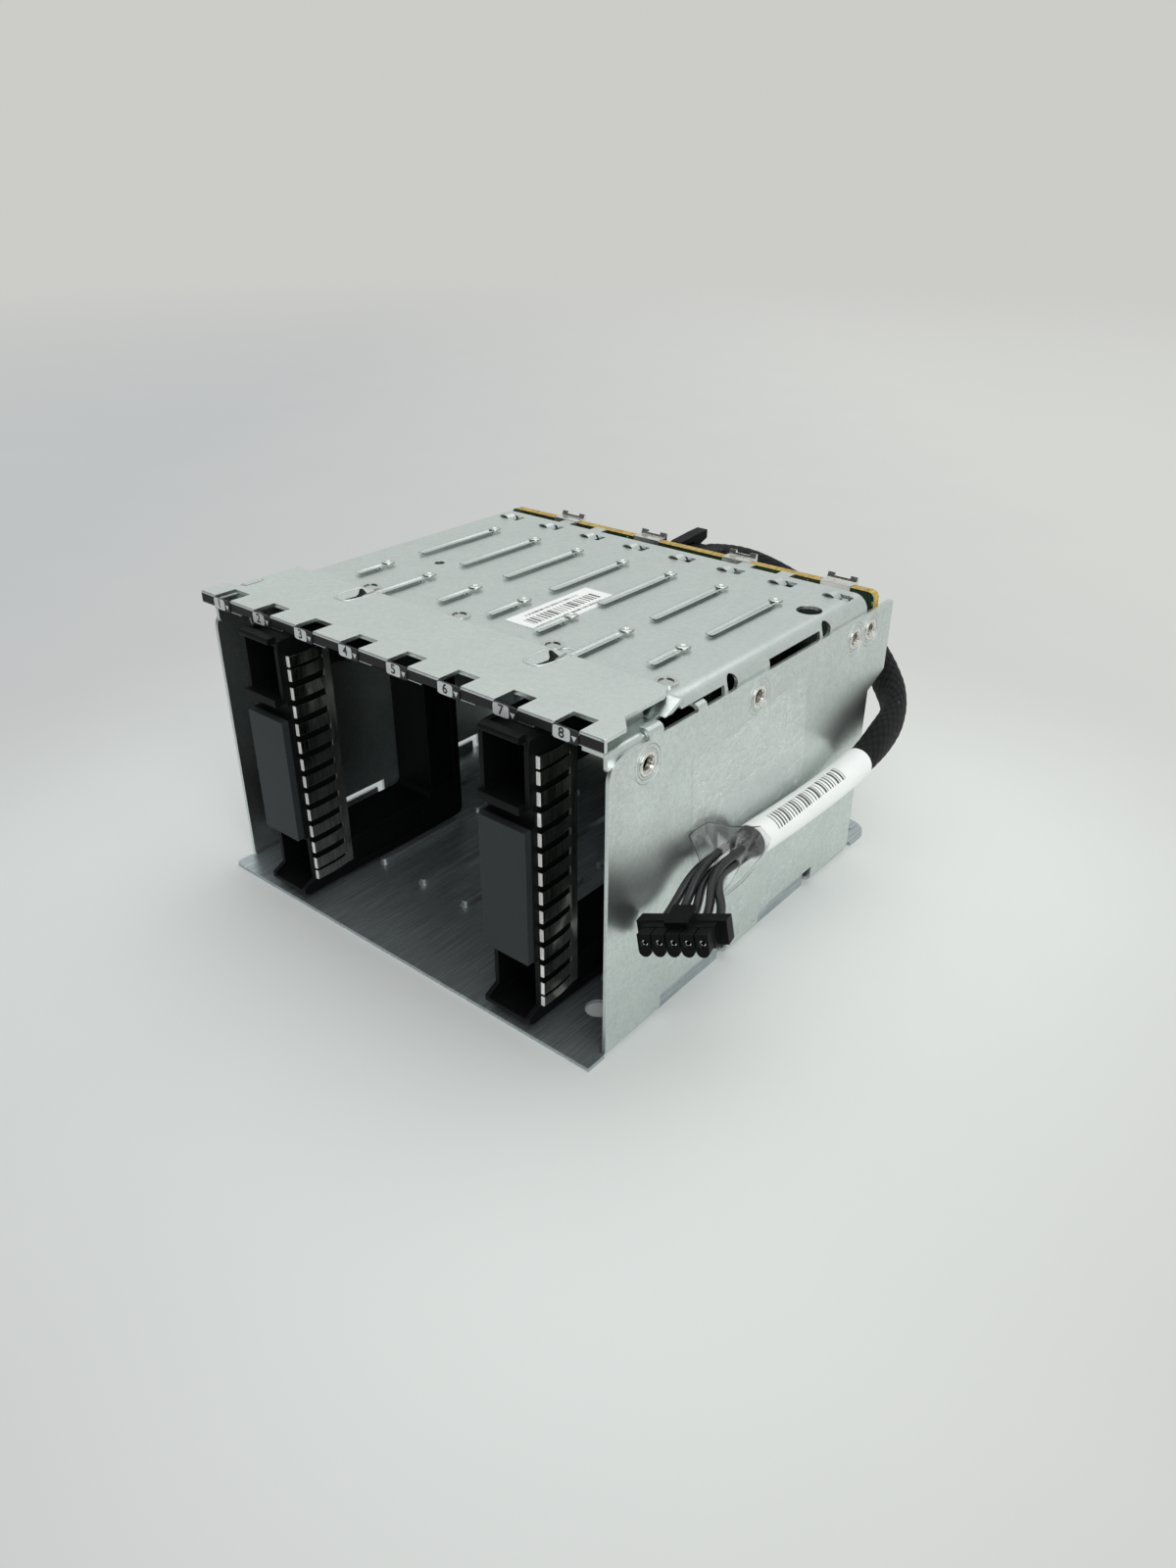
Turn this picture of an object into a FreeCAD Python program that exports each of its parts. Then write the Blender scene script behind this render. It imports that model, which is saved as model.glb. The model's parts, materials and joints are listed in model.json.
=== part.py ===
import FreeCAD, Part
import math
import os
import re
import Sketcher
from FreeCAD import Placement, Rotation, Vector

# Hot swap drive cage: a folded sheet cage with eight upright bays for small drives, a backplane
# board across its rear, two drive blanks that slide out of bays 2 and 7, and a power lead that is
# taped along the right-hand wall.  Millimetres.  X runs to the right seen from the front, Y into the
# cage from the front edge of its walls, Z up from the underside of the base.

os.makedirs("parts", exist_ok=True)
doc = FreeCAD.newDocument("DriveCage")
sizes = doc.addObject("Spreadsheet::Sheet", "Sizes")

# ---------------------------------------------------------------- driving sizes
DRIVING = [
    ("bay_total", 8, "upright bays side by side"),
    ("bay_pitch", 17.0, "centre to centre of two bays"),
    ("end_half", 7.8, "centre of an end bay to the wall beside it"),
    ("gauge", 1.0, "sheet of the base, walls and top"),
    ("step_slope", 4.0, "height over which the step slopes"),
    ("corner_round", 5.0, "round of the walls' top front corner"),
    ("fold_round", 2.0, "outside radius of the fold at a wall's foot"),
    ("apron", 6.3, "how far the base runs out in front of the walls"),
    ("flap_rise", 3.9, "height of the base's flaps in the walls' foot slots"),
    ("foot_slot", 5.2, "top of the slots along the walls' feet"),
    ("top_level", 82.8, "upper face of the top plate"),
    ("top_front", 7.2, "front edge of the top plate"),
    ("top_round", 4.3, "outside radius of the roll along the top plate's sides"),
    ("shelf_drop", 3.0, "how far the top plate's right front corner is set down"),
    ("flange_drop", 6.3, "top plate's face to the lower edge of its side flange"),
    ("cover_gauge", 1.0, "sheet of the front cover"),
    ("cover_back", 28.6, "rear edge of the front cover"),
    ("cover_nose", 0.8, "how far the cover's front face stands out from the walls"),
    ("cover_lip", 3.2, "cover's face to the lower edge of its front lip"),
    ("window_wide", 6.9, "latch window in the cover, across"),
    ("window_deep", 6.4, "latch window in the cover, front to back"),
    ("window_shift", -1.95, "middle of a latch window from the middle of its bay"),
    ("rib_half", 1.7, "half the width of a guide rib at its root"),
    ("rib_tall", 1.6, "how far a guide rib stands into the bays"),
    ("rib_draft", 0.7, "how much narrower a rib is at its crest, each side"),
    ("insert_hole", 1.65, "radius of the thread in an insert"),
    ("insert_barrel", 2.7, "radius of an insert's barrel in the wall"),
    ("insert_proud", 0.2, "how far an insert stands out inside the wall"),
    ("insert_dish", 0.3, "depth and widening of the lead-in of an insert"),
    ("board_front", 117.0, "front face of the backplane board"),
    ("board_gauge", 3.0, "thickness of the backplane board"),
    ("board_low", 3.0, "lower edge of the backplane board"),
    ("board_gap", 0.3, "side wall to the edge of the board"),
    ("socket_long", 42.0, "drive connector, upright length"),
    ("socket_wide", 5.8, "drive connector, across"),
    ("socket_deep", 8.5, "drive connector, out from the board"),
    ("socket_rise", 40.0, "middle of a drive connector"),
    ("blank_back", 56.0, "rear end of a drive blank"),
    ("blank_nose", 5.6, "how far a blank stands out in front of the walls"),
    ("run_gap", 0.3, "running clearance"),
    ("fit_gap", 0.15, "clearance of a moulded pivot"),
    ("cheek", 1.2, "wall beside a blank's latch"),
    ("pivot_back", 8.0, "latch pivot behind the walls' front edge"),
    ("pivot_round", 0.9, "radius of the latch pivot"),
    ("finger_pitch", 5.2, "one spring finger to the next"),
    ("finger_wide", 3.35, "width of a spring finger"),
    ("finger_gauge", 0.25, "sheet of the spring fingers"),
    ("finger_low", 7.0, "lower end of the finger strip"),
    ("lead_round", 4.1, "radius of the sleeved power lead"),
    ("wire_round", 0.95, "radius of one wire"),
    ("plug_pitch", 3.3, "one contact of the lead's plug to the next"),
    ("film", 0.2, "thickness of the clear tape and of the labels"),
]

# ---------------------------------------------------------------- sizes that follow from them
DERIVED = [
    ("inner_half", "(bay_total - 1) * bay_pitch / 2 + end_half"),
    ("outer_half", "inner_half + gauge"),
    ("first_bay", "(bay_total - 1) * bay_pitch / 2"),
    ("top_under", "top_level - gauge"),
    ("cover_level", "top_level + cover_gauge"),
    ("rib_crest", "gauge + rib_tall"),
    ("blank_low", "rib_crest + run_gap"),
    ("insert_length", "gauge + insert_proud"),
    ("board_back", "board_front + board_gauge"),
    ("board_half", "inner_half - board_gap"),
    ("board_high", "top_level - 0.4"),
    ("wall_rise", "top_level - 4.3"),
    ("step_rise", "wall_rise - 21"),
    ("insert_rise", "wall_rise - 5.5"),
    ("step_depth", "board_front + 1.2"),
    ("wall_depth", "board_front + 10"),
    ("base_depth", "board_front + 4"),
    ("top_back", "board_front - 4"),
    ("shelf_level", "top_level - shelf_drop"),
    ("blank_half", "bay_pitch / 2 - 1.2"),
    ("blank_high", "top_level - 3.6"),
    ("pivot_rise", "blank_high - 1.8"),
]

words = {}
for row, (alias, number, note) in enumerate(DRIVING, start=1):
    sizes.set(f"A{row}", alias)
    sizes.set(f"B{row}", str(number))
    sizes.set(f"C{row}", note)
    sizes.setAlias(f"B{row}", alias)
    words[alias] = number
for row, (alias, formula) in enumerate(DERIVED, start=len(DRIVING) + 2):
    sizes.set(f"A{row}", alias)
    sizes.set(f"B{row}", "=" + formula)
    sizes.setAlias(f"B{row}", alias)
    words[alias] = formula
doc.recompute()

reader = doc.addObject("Spreadsheet::Sheet", "Reader")
known = {}


def bound(expression):
    """An expression over the sheet's names as an object's property reads it."""
    return re.sub(
        r"[a-z_]\w*",
        lambda word: "Sizes." + word.group() if word.group() in words else word.group(),
        str(expression),
    )


def value(expression):
    """The number that an expression over the sheet's names gives."""
    expression = str(expression)
    if expression not in known:
        reader.set("A1", "=" + bound(expression))
        reader.recompute()
        known[expression] = float(reader.get("A1"))
    return known[expression]


# ---------------------------------------------------------------- building blocks
TURN = {
    "x": Rotation(Vector(0, 1, 0), 90),
    "y": Rotation(Vector(1, 0, 0), -90),
    "z": Rotation(),
}
ORIGIN_PLANE = {"z": "XY_Plane", "y": "XZ_Plane", "x": "YZ_Plane"}


def box(name, x, y, z):
    """A Part::Box between two corners; x, y and z are each a (low, high) pair of expressions."""
    solid = doc.addObject("Part::Box", name)
    for side, axis, (low, high) in zip(("Length", "Width", "Height"), "xyz", (x, y, z)):
        solid.setExpression(side, bound(f"({high}) - ({low})"))
        solid.setExpression(f"Placement.Base.{axis}", bound(low))
    return solid


def rod(name, axis, centre, radius, low, high):
    """A Part::Cylinder along an axis, from low to high; centre is the pair of the other two axes."""
    solid = doc.addObject("Part::Cylinder", name)
    solid.Placement = Placement(Vector(), TURN[axis])
    solid.setExpression("Radius", bound(radius))
    solid.setExpression("Height", bound(f"({high}) - ({low})"))
    others = [letter for letter in "xyz" if letter != axis]
    for letter, expression in zip(others, centre):
        solid.setExpression(f"Placement.Base.{letter}", bound(expression))
    solid.setExpression(f"Placement.Base.{axis}", bound(low))
    return solid


def joined(name, pieces):
    solid = doc.addObject("Part::MultiFuse", name)
    solid.Shapes = pieces
    return solid


def cut(name, base, tools):
    tool = tools[0] if len(tools) == 1 else joined(name + "Tools", tools)
    solid = doc.addObject("Part::Cut", name)
    solid.Base = base
    solid.Tool = tool
    return solid


def outline(body, axis, level, loops, circles=()):
    """A sketch square to an axis, its corners and circles tied to the sheet by their expressions."""
    sketch = body.newObject("Sketcher::SketchObject", body.Name + "Sketch")
    role = ORIGIN_PLANE[axis]
    plane = [face for face in body.Origin.OriginFeatures if face.Role == role][0]
    sketch.AttachmentSupport = [(plane, "")]
    sketch.MapMode = "FlatFace"
    sign = "-1 * " if axis == "y" else ""
    sketch.setExpression("AttachmentOffset.Base.z", bound(f"{sign}({level})"))
    for corners in loops:
        first = sketch.GeometryCount
        spots = [Vector(value(u), value(v), 0) for u, v in corners]
        for here, there in zip(spots, spots[1:] + spots[:1]):
            sketch.addGeometry(Part.LineSegment(here, there), False)
        count = len(corners)
        for step in range(count):
            following = first + (step + 1) % count
            joint = Sketcher.Constraint("Coincident", first + step, 2, following, 1)
            sketch.addConstraint(joint)
        for step, pair in enumerate(corners):
            for kind, expression in zip(("DistanceX", "DistanceY"), pair):
                tie(sketch, kind, first + step, 1, expression)
    for (u, v), radius in circles:
        index = sketch.GeometryCount
        ring = Part.Circle(Vector(value(u), value(v), 0), Vector(0, 0, 1), value(radius))
        sketch.addGeometry(ring, False)
        tie(sketch, "DistanceX", index, 3, u)
        tie(sketch, "DistanceY", index, 3, v)
        number = sketch.addConstraint(Sketcher.Constraint("Radius", index, value(radius)))
        sketch.setExpression(f"Constraints[{number}]", bound(radius))
    return sketch


def tie(sketch, kind, index, point, expression):
    """Holds one coordinate of a sketch point at an expression."""
    distance = Sketcher.Constraint(kind, -1, 1, index, point, value(expression))
    number = sketch.addConstraint(distance)
    sketch.setExpression(f"Constraints[{number}]", bound(expression))


def plate(name, axis, low, high, corners, holes=(), circles=()):
    """A PartDesign body: an outline padded from low to high along an axis."""
    body = doc.addObject("PartDesign::Body", name)
    start = high if axis == "y" else low
    sketch = outline(body, axis, start, [corners, *holes], circles)
    pad = body.newObject("PartDesign::Pad", name + "Pad")
    pad.Profile = sketch
    pad.setExpression("Length", bound(f"({high}) - ({low})"))
    body.recompute(True)
    return body


def rounded(body, axis, corners, radius):
    """Rounds the edges of a plate that run along its axis through the given corners."""
    base = body.Tip
    others = [letter for letter in "xyz" if letter != axis]
    picked = []
    for number, edge in enumerate(base.Shape.Edges, start=1):
        ends = [vertex.Point for vertex in edge.Vertexes]
        if len(ends) < 2:
            continue
        if any(abs(getattr(ends[0], a) - getattr(ends[1], a)) > 1e-4 for a in others):
            continue
        spot = [getattr(ends[0], letter) for letter in others]
        for u, v in corners:
            if math.hypot(spot[0] - value(u), spot[1] - value(v)) < 1e-3:
                picked.append(f"Edge{number}")
    if len(picked) < len(corners):
        raise RuntimeError(f"{body.Name}: {len(picked)} of {len(corners)} corners found")
    fillet = body.newObject("PartDesign::Fillet", body.Name + "Round" + str(len(body.Group)))
    fillet.Base = (base, picked)
    fillet.setExpression("Radius", bound(radius))
    body.Tip = fillet
    body.recompute(True)
    return body


def stadium(x, front, back, half, level):
    """A closed wire: two straight sides along Y and two half rounds, at one height."""
    low = Vector(x, front + half, level)
    high = Vector(x, back - half, level)
    side = Vector(half, 0, 0)
    reach = Vector(0, half, 0)
    edges = [
        Part.LineSegment(low + side, high + side).toShape(),
        Part.Arc(high + side, high + reach, high - side).toShape(),
        Part.LineSegment(high - side, low - side).toShape(),
        Part.Arc(low - side, low - reach, low + side).toShape(),
    ]
    return Part.Wire(edges)


def drafted(name, x, front, back, half, root, crest, draft):
    """A pressed rib or groove: a stadium that narrows from its root to its crest."""
    solid = doc.addObject("Part::Feature", name)
    wide = stadium(x, front, back, half, root)
    slim = stadium(x, front + draft, back - draft, half - draft, crest)
    solid.Shape = Part.makeLoft([wide, slim], True, True)
    return solid


named = []


def part(solid, label):
    """Gives a finished sub-part its name."""
    solid.Label = label
    named.append(solid)
    return solid


def bay(number):
    """The middle of a bay, counted from 1, as an expression."""
    return f"({number - 1}) * bay_pitch - first_bay"


BAYS = range(1, int(value("bay_total")) + 1)
FIRST_WALL = -1
LAST_WALL = 1

# ---------------------------------------------------------------- base
TOP_FRONT_ROW = [(36, 45.5), (27.5, 45.5), (35, 46.5), (36, 47.5), (35, 46.5), (26, 47.5), (36.5, 47.5)]
REAR_ROW = (60.0, value("board_front - 25"))
BASE_FRONT_ROW = (20.5, 53.0)


def ribs(prefix, rows, root, crest, grow):
    """Guide ribs on the lines between bays: grow adds to their half width."""
    pieces = []
    for wall, (front, back) in rows:
        x = value(f"{bay(wall)} + bay_pitch / 2")
        half = value("rib_half") + grow
        name = f"{prefix}{len(pieces) + 1}"
        pieces.append(
            drafted(name, x, front - grow, back + grow, half, root, crest, value("rib_draft"))
        )
    return pieces


FLAPS = (("21.8", "48"), ("67", "92.4"))
between = [number for number in BAYS if number < value("bay_total")]
base_rows = [(wall, BASE_FRONT_ROW) for wall in between] + [(wall, REAR_ROW) for wall in between]


def base_tray():
    half = "outer_half"
    seat = "outer_half - fold_round"
    corners = [
        (f"-1 * {half}", "-1 * apron"),
        (half, "-1 * apron"),
        (half, "-0.4"),
        (seat, "-0.4"),
        (seat, "base_depth"),
        (half, "base_depth"),
        (half, "base_depth + 13"),
        ("outer_half - 13", "base_depth + 13"),
        ("outer_half - 13", "base_depth"),
        (f"-1 * ({seat})", "base_depth"),
        (f"-1 * ({seat})", "-0.4"),
        (f"-1 * {half}", "-0.4"),
    ]
    holes = [
        ((f"{bay(8)} - 2.9", "11.5"), "3.2"),
        ((f"{bay(1)} + 2.9", "11.5"), "3.2"),
    ]
    tray = plate("BaseTray", "z", "0", "gauge", corners, circles=holes)
    rounded(tray, "z", [(f"-1 * {half}", "-1 * apron")], "1.6")
    rounded(tray, "z", [(half, "base_depth + 13")], "7")
    rounded(tray, "z", [("outer_half - 13", "base_depth + 13")], "3")
    level = value("gauge")
    crest = value("rib_crest")
    flaps = []
    for side in (FIRST_WALL, LAST_WALL):
        for number, (front, back) in enumerate(FLAPS, start=1):
            edge = ("outer_half - fold_round - 0.1", "outer_half - 0.8")
            stand = ("outer_half - 0.8 - gauge", "outer_half - 0.8")
            if side < 0:
                edge = ("0.8 - outer_half", "fold_round + 0.1 - outer_half")
                stand = ("0.8 - outer_half", "0.8 + gauge - outer_half")
            name = f"Flap{side + 2}{number}"
            flaps.append(box(name + "Foot", edge, (front, back), ("0", "gauge")))
            flaps.append(box(name, stand, (front, back), ("0", "flap_rise")))
    raised = ribs("BaseRib", base_rows, level - 0.2, crest, 0.1)
    dished = ribs("BaseDish", base_rows, -0.01, crest - value("gauge"), 0.1 - value("gauge"))
    slot = box("TabSlot", ("outer_half - 6", "outer_half - 4"), ("base_depth + 3", "base_depth + 8"),
               ("-1", "gauge + 1"))
    solid = cut("BasePressed", joined("BaseRibbed", [tray, *flaps, *raised]), [*dished, slot])
    part(solid, "base_tray")


base_tray()

# ---------------------------------------------------------------- side walls
INSERTS = ("13.2", "57.5", "board_front - 11.3", "board_front - 2.4")
RIGHT_TABS = (("13.5", "18.5", "shelf_level"), ("31.6", "35.0", "wall_rise + 0.6"))
LEFT_TABS = (("9.5", "14.5", "top_level"), ("31.6", "35.0", "wall_rise + 0.6"))
BOARD_TABS = (("9", "18"), ("board_high - 20.4", "board_high - 12.4"))
TAB_REACH = 9.0


def wall_shape(name, side):
    """A side wall with its step at the rear, its folded foot and its crimp and board tabs."""
    edge = f"{side} * outer_half"
    inside = f"{side} * inner_half"
    low, high = (inside, edge) if side > 0 else (edge, inside)
    corners = [
        ("0", "fold_round"),
        ("step_depth", "fold_round"),
        ("step_depth", "step_rise - step_slope"),
        ("wall_depth", "step_rise"),
        ("wall_depth", "wall_rise"),
        ("0", "wall_rise"),
    ]
    sheet = plate(name + "Sheet", "x", low, high, corners)
    rounded(sheet, "x", [("0", "wall_rise")], "corner_round")
    rounded(sheet, "x", [("wall_depth", "wall_rise")], "1.5")
    foot = doc.addObject("Part::Feature", name + "Foot")
    foot.Shape = fold(side)
    tabs = []
    for number, (front, back, over) in enumerate(RIGHT_TABS if side > 0 else LEFT_TABS, start=1):
        tabs.append(crimp_tab(f"{name}Crimp{number}", side, front, back, over))
    for number, (bottom, top) in enumerate(BOARD_TABS, start=1):
        ends = (f"inner_half - {TAB_REACH}", "inner_half")
        if side < 0:
            ends = ("-1 * inner_half", f"{TAB_REACH} - inner_half")
        tab = box(f"{name}BoardTab{number}", ends, ("board_front - gauge", "board_front"), (bottom, top))
        tabs.append(tab)
    return joined(name + "Formed", [sheet, foot, *tabs])


def fold(side):
    """The quarter-round fold from the wall's foot to the base, swept from front to rear."""
    outer = value("fold_round")
    inner = outer - value("gauge")
    x = side * (value("outer_half") - outer)
    depth = value("step_depth")
    face = []
    for radius in (outer, inner):
        start = Vector(x + side * radius, 0, outer)
        middle = Vector(x + side * radius * math.sin(math.pi / 4), 0, outer - radius * math.cos(math.pi / 4))
        end = Vector(x, 0, outer - radius)
        face.append((start, middle, end))
    (a, b, c), (d, e, f) = face
    edges = [
        Part.Arc(a, b, c).toShape(),
        Part.LineSegment(c, f).toShape(),
        Part.Arc(f, e, d).toShape(),
        Part.LineSegment(d, a).toShape(),
    ]
    return Part.Face(Part.Wire(edges)).extrude(Vector(0, depth, 0))


def crimp_tab(name, side, front, back, over):
    """A tab of the wall's top edge, bent inwards at the height of the sheet under it."""
    profile_points = [
        ("outer_half", "wall_rise - 1"),
        ("outer_half", f"{over} - 0.2"),
        ("outer_half - 0.4", f"{over} + 0.6"),
        ("outer_half - 1.2", f"{over} + 1"),
        ("outer_half - 3", f"{over} + 1"),
        ("outer_half - 3", f"{over} + 0.1"),
        ("inner_half - 0.6", f"{over} + 0.05"),
        ("inner_half", f"{over} - 0.7"),
        ("inner_half", "wall_rise - 1"),
    ]
    corners = [(f"{side} * ({u})", v) for u, v in profile_points]
    return plate(name, "y", front, back, corners)


def side_wall(side, label):
    name = "RightWall" if side > 0 else "LeftWall"
    formed = wall_shape(name, side)
    span = ("inner_half - 1", "outer_half + 1") if side > 0 else ("-1 * outer_half - 1", "1 - inner_half")
    tools = []
    for number, depth in enumerate(INSERTS, start=1):
        tools.append(rod(f"{name}Bore{number}", "x", (depth, "insert_rise"), "insert_barrel", *span))
    for number, (bottom, top) in enumerate(BOARD_TABS, start=1):
        centre = (f"{side} * (inner_half - 5)", f"({bottom} + {top}) / 2")
        tools.append(
            rod(f"{name}Pilot{number}", "y", centre, "1.5", "board_front - gauge - 1", "board_front + 1")
        )
    foot = ("outer_half - fold_round - 0.5", "outer_half + 1")
    if side < 0:
        foot = ("-1 * outer_half - 1", "fold_round + 0.5 - outer_half")
    for number, (front, back) in enumerate(FLAPS, start=1):
        room = (f"{front} - run_gap", f"{back} + 3.4")
        tools.append(box(f"{name}FootSlot{number}", foot, room, ("-1", "foot_slot")))
    solid = cut(name, formed, tools)
    part(solid, label)


side_wall(FIRST_WALL, "left_side_panel")
side_wall(LAST_WALL, "right_side_panel")


def wall_inserts(side, label):
    """Four threaded inserts, flush outside and standing proud inside."""
    pieces = []
    for number, depth in enumerate(INSERTS, start=1):
        low, high = "outer_half - insert_length", "outer_half"
        if side < 0:
            low, high = "-1 * outer_half", "insert_length - outer_half"
        name = f"{label.title().replace('_', '')}{number}"
        barrel = rod(name + "Barrel", "x", (depth, "insert_rise"), "insert_barrel", low, high)
        thread = rod(name + "Thread", "x", (depth, "insert_rise"), "insert_hole",
                     f"{low} - 1", f"{high} + 1")
        dish = doc.addObject("Part::Cone", name + "Dish")
        dish.setExpression("Radius1", bound("insert_hole"))
        dish.setExpression("Radius2", bound("insert_hole + insert_dish"))
        dish.setExpression("Height", bound("insert_dish"))
        dish.Placement = Placement(Vector(), Rotation(Vector(0, 1, 0), 90 * side))
        dish.setExpression("Placement.Base.x", bound(f"{side} * (outer_half - insert_dish + 0.01)"))
        dish.setExpression("Placement.Base.y", bound(depth))
        dish.setExpression("Placement.Base.z", bound("insert_rise"))
        pieces.append(cut(name, barrel, [thread, dish]))
    group = doc.addObject("Part::Compound", label.title().replace("_", ""))
    group.Links = pieces
    part(group, label)


wall_inserts(FIRST_WALL, "left_panel_inserts")
wall_inserts(LAST_WALL, "right_panel_inserts")

# ---------------------------------------------------------------- top plate
EDGE_GAPS = (("19", "43.6"), ("63", "board_front - 29.6"))
EDGE_EYES = ("46.9", "board_front - 26.2")
GAP_TOP = "top_level - 2.4"
LANCE_DEPTH = "board_front - 9.5"
SHELF_BACK = "20"


def lanced_spring(number):
    """The curled tongue beside a window in the top plate, which presses on the drive below."""
    x = value(f"{bay(number)} + 0.1")
    top = value("top_level")
    sheet = value("gauge") * 0.5
    start = Vector(x - 2.6, 0, top + 0.05)
    crown = Vector(x - 0.6, 0, top + 0.75)
    tip = Vector(x + 1.8, 0, top - 0.9)
    down = Vector(0, 0, -sheet)
    edges = [
        Part.Arc(start, crown, tip).toShape(),
        Part.LineSegment(tip, tip + down).toShape(),
        Part.Arc(tip + down, crown + down, start + down).toShape(),
        Part.LineSegment(start + down, start).toShape(),
    ]
    spring = doc.addObject("Part::Feature", f"Lance{number}")
    spring.Shape = Part.Face(Part.Wire(edges)).extrude(Vector(0, 3.4, 0))
    spring.Placement = Placement(Vector(0, value(LANCE_DEPTH) - 1.7, 0), Rotation())
    return spring


def front_shelf():
    """The right front corner, set down below the cover: shelf, web, ramp up to the plate, side flange."""
    web = "inner_half - 6.7"
    corners = [
        (web, "top_level"),
        (f"{web} + gauge", "top_level"),
        (f"{web} + gauge", "shelf_level"),
        ("inner_half", "shelf_level"),
        ("inner_half", "top_level - flange_drop"),
        ("inner_half - gauge", "top_level - flange_drop"),
        ("inner_half - gauge", "shelf_level - gauge"),
        (web, "shelf_level - gauge"),
    ]
    shelf = plate("Shelf", "y", "0.5", SHELF_BACK, corners)
    rounded(shelf, "y", [("inner_half", "shelf_level")], "1.4")
    rounded(shelf, "y", [("inner_half - gauge", "shelf_level - gauge")], "0.4")
    ramp = plate("ShelfRamp", "x", web, "inner_half - 0.6", [
        (f"{SHELF_BACK} - 0.5", "shelf_level - gauge"),
        (SHELF_BACK, "shelf_level - gauge"),
        (f"{SHELF_BACK} + 7", "top_under"),
        (f"{SHELF_BACK} + 7.6", "top_under"),
        (f"{SHELF_BACK} + 7.6", "top_level"),
        (f"{SHELF_BACK} + 6.6", "top_level"),
        (f"{SHELF_BACK} - 0.5", "shelf_level"),
    ])
    return [shelf, ramp]


def front_flange(side, top):
    """The side flange's deep front end, inside the wall's rounded corner."""
    low, high = ("inner_half - gauge", "inner_half")
    if side < 0:
        low, high = ("-1 * inner_half", "gauge - inner_half")
    body = plate(f"FrontFlange{side + 2}", "x", low, high, [
        ("0.5", "top_level - 7.6"),
        ("5", "top_level - 7.6"),
        ("top_front + 1", "top_level - flange_drop"),
        ("top_front + 1", top),
        ("0.5", top),
    ])
    return rounded(body, "x", [("0.5", "top_level - 7.6"), ("5", "top_level - 7.6")], "1.4")


def top_plate():
    corners = [
        ("-1 * inner_half", "top_level - flange_drop"),
        ("-1 * inner_half", "top_level"),
        ("inner_half", "top_level"),
        ("inner_half", "top_level - flange_drop"),
        ("inner_half - gauge", "top_level - flange_drop"),
        ("inner_half - gauge", "top_under"),
        ("gauge - inner_half", "top_under"),
        ("gauge - inner_half", "top_level - flange_drop"),
    ]
    shell = plate("TopShell", "y", "top_front", "top_back", corners)
    rounded(shell, "y", [("-1 * inner_half", "top_level"), ("inner_half", "top_level")], "top_round")
    inside = [("gauge - inner_half", "top_under"), ("inner_half - gauge", "top_under")]
    rounded(shell, "y", inside, "top_round - gauge")
    corner = box("SetDown", ("inner_half - 5.7", "inner_half + 1"), ("top_front - 1", f"{SHELF_BACK} + 7"),
                 ("top_level - top_round", "top_level + 1"))
    notched = cut("TopNotched", shell, [corner])
    front_rows = [(wall, TOP_FRONT_ROW[(wall - 1) % len(TOP_FRONT_ROW)]) for wall in between]
    rows = front_rows + [(wall, REAR_ROW) for wall in between]
    under = value("top_under")
    crest = under - value("rib_tall")
    lowered = ribs("TopRib", rows, under + 0.2, crest, 0.1)
    level = value("top_level")
    dished = ribs("TopDish", rows, level + 0.01, crest + value("gauge"), 0.1 - value("gauge"))
    reach = ("top_back - 1", "board_front - 0.55")
    tabs = []
    for low, high in REAR_TABS:
        ends = (f"inner_half * {low}", f"inner_half * {high}")
        tabs.append(box(f"RearTab{len(tabs) + 1}", ends, reach, ("top_under", "top_level")))
    tools = list(dished)
    for number in BAYS:
        middle = f"{bay(number)} + 2.6"
        tools.append(
            box(f"LanceHole{number}", (f"{middle} - 2.4", f"{middle} + 2.6"),
                (f"{LANCE_DEPTH} - 2.1", f"{LANCE_DEPTH} + 2.1"), ("top_under - 1", "top_level + 1"))
        )
    for side in (FIRST_WALL, LAST_WALL):
        low, high = ("inner_half - 2.5", "inner_half + 1")
        if side < 0:
            low, high = ("-1 * inner_half - 1", "2.5 - inner_half")
        for number, (front, back) in enumerate(EDGE_GAPS, start=1):
            span = ("top_level - flange_drop - 1", GAP_TOP)
            tools.append(box(f"EdgeGap{side + 2}{number}", (low, high), (front, back), span))
        for number, depth in enumerate(EDGE_EYES, start=1):
            centre = (depth, "wall_rise + 1.1")
            tools.append(rod(f"EdgeEye{side + 2}{number}", "x", centre, "2.2", low, high))
    tools.append(rod("SmallHole", "z", (f"{bay(2)} + 1", "58.8"), "1.5", "top_under - 1", "top_level + 1"))
    tools.append(rod("LargeHole", "z", (f"{bay(8)} + 0.9", "board_front - 23.9"), "3.4",
                     "top_under - 1", "top_level + 1"))
    flanges = [front_flange(FIRST_WALL, "top_under"), front_flange(LAST_WALL, "shelf_level - gauge")]
    sheet = joined("TopRibbed", [notched, *front_shelf(), *flanges, *lowered, *tabs])
    springs = [lanced_spring(number) for number in BAYS]
    part(joined("TopPlate", [cut("TopPressed", sheet, tools), *springs]), "top_plate")


REAR_TABS = ((-0.633, -0.572), (-0.441, -0.377), (0.377, 0.441), (0.572, 0.633))
top_plate()


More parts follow.
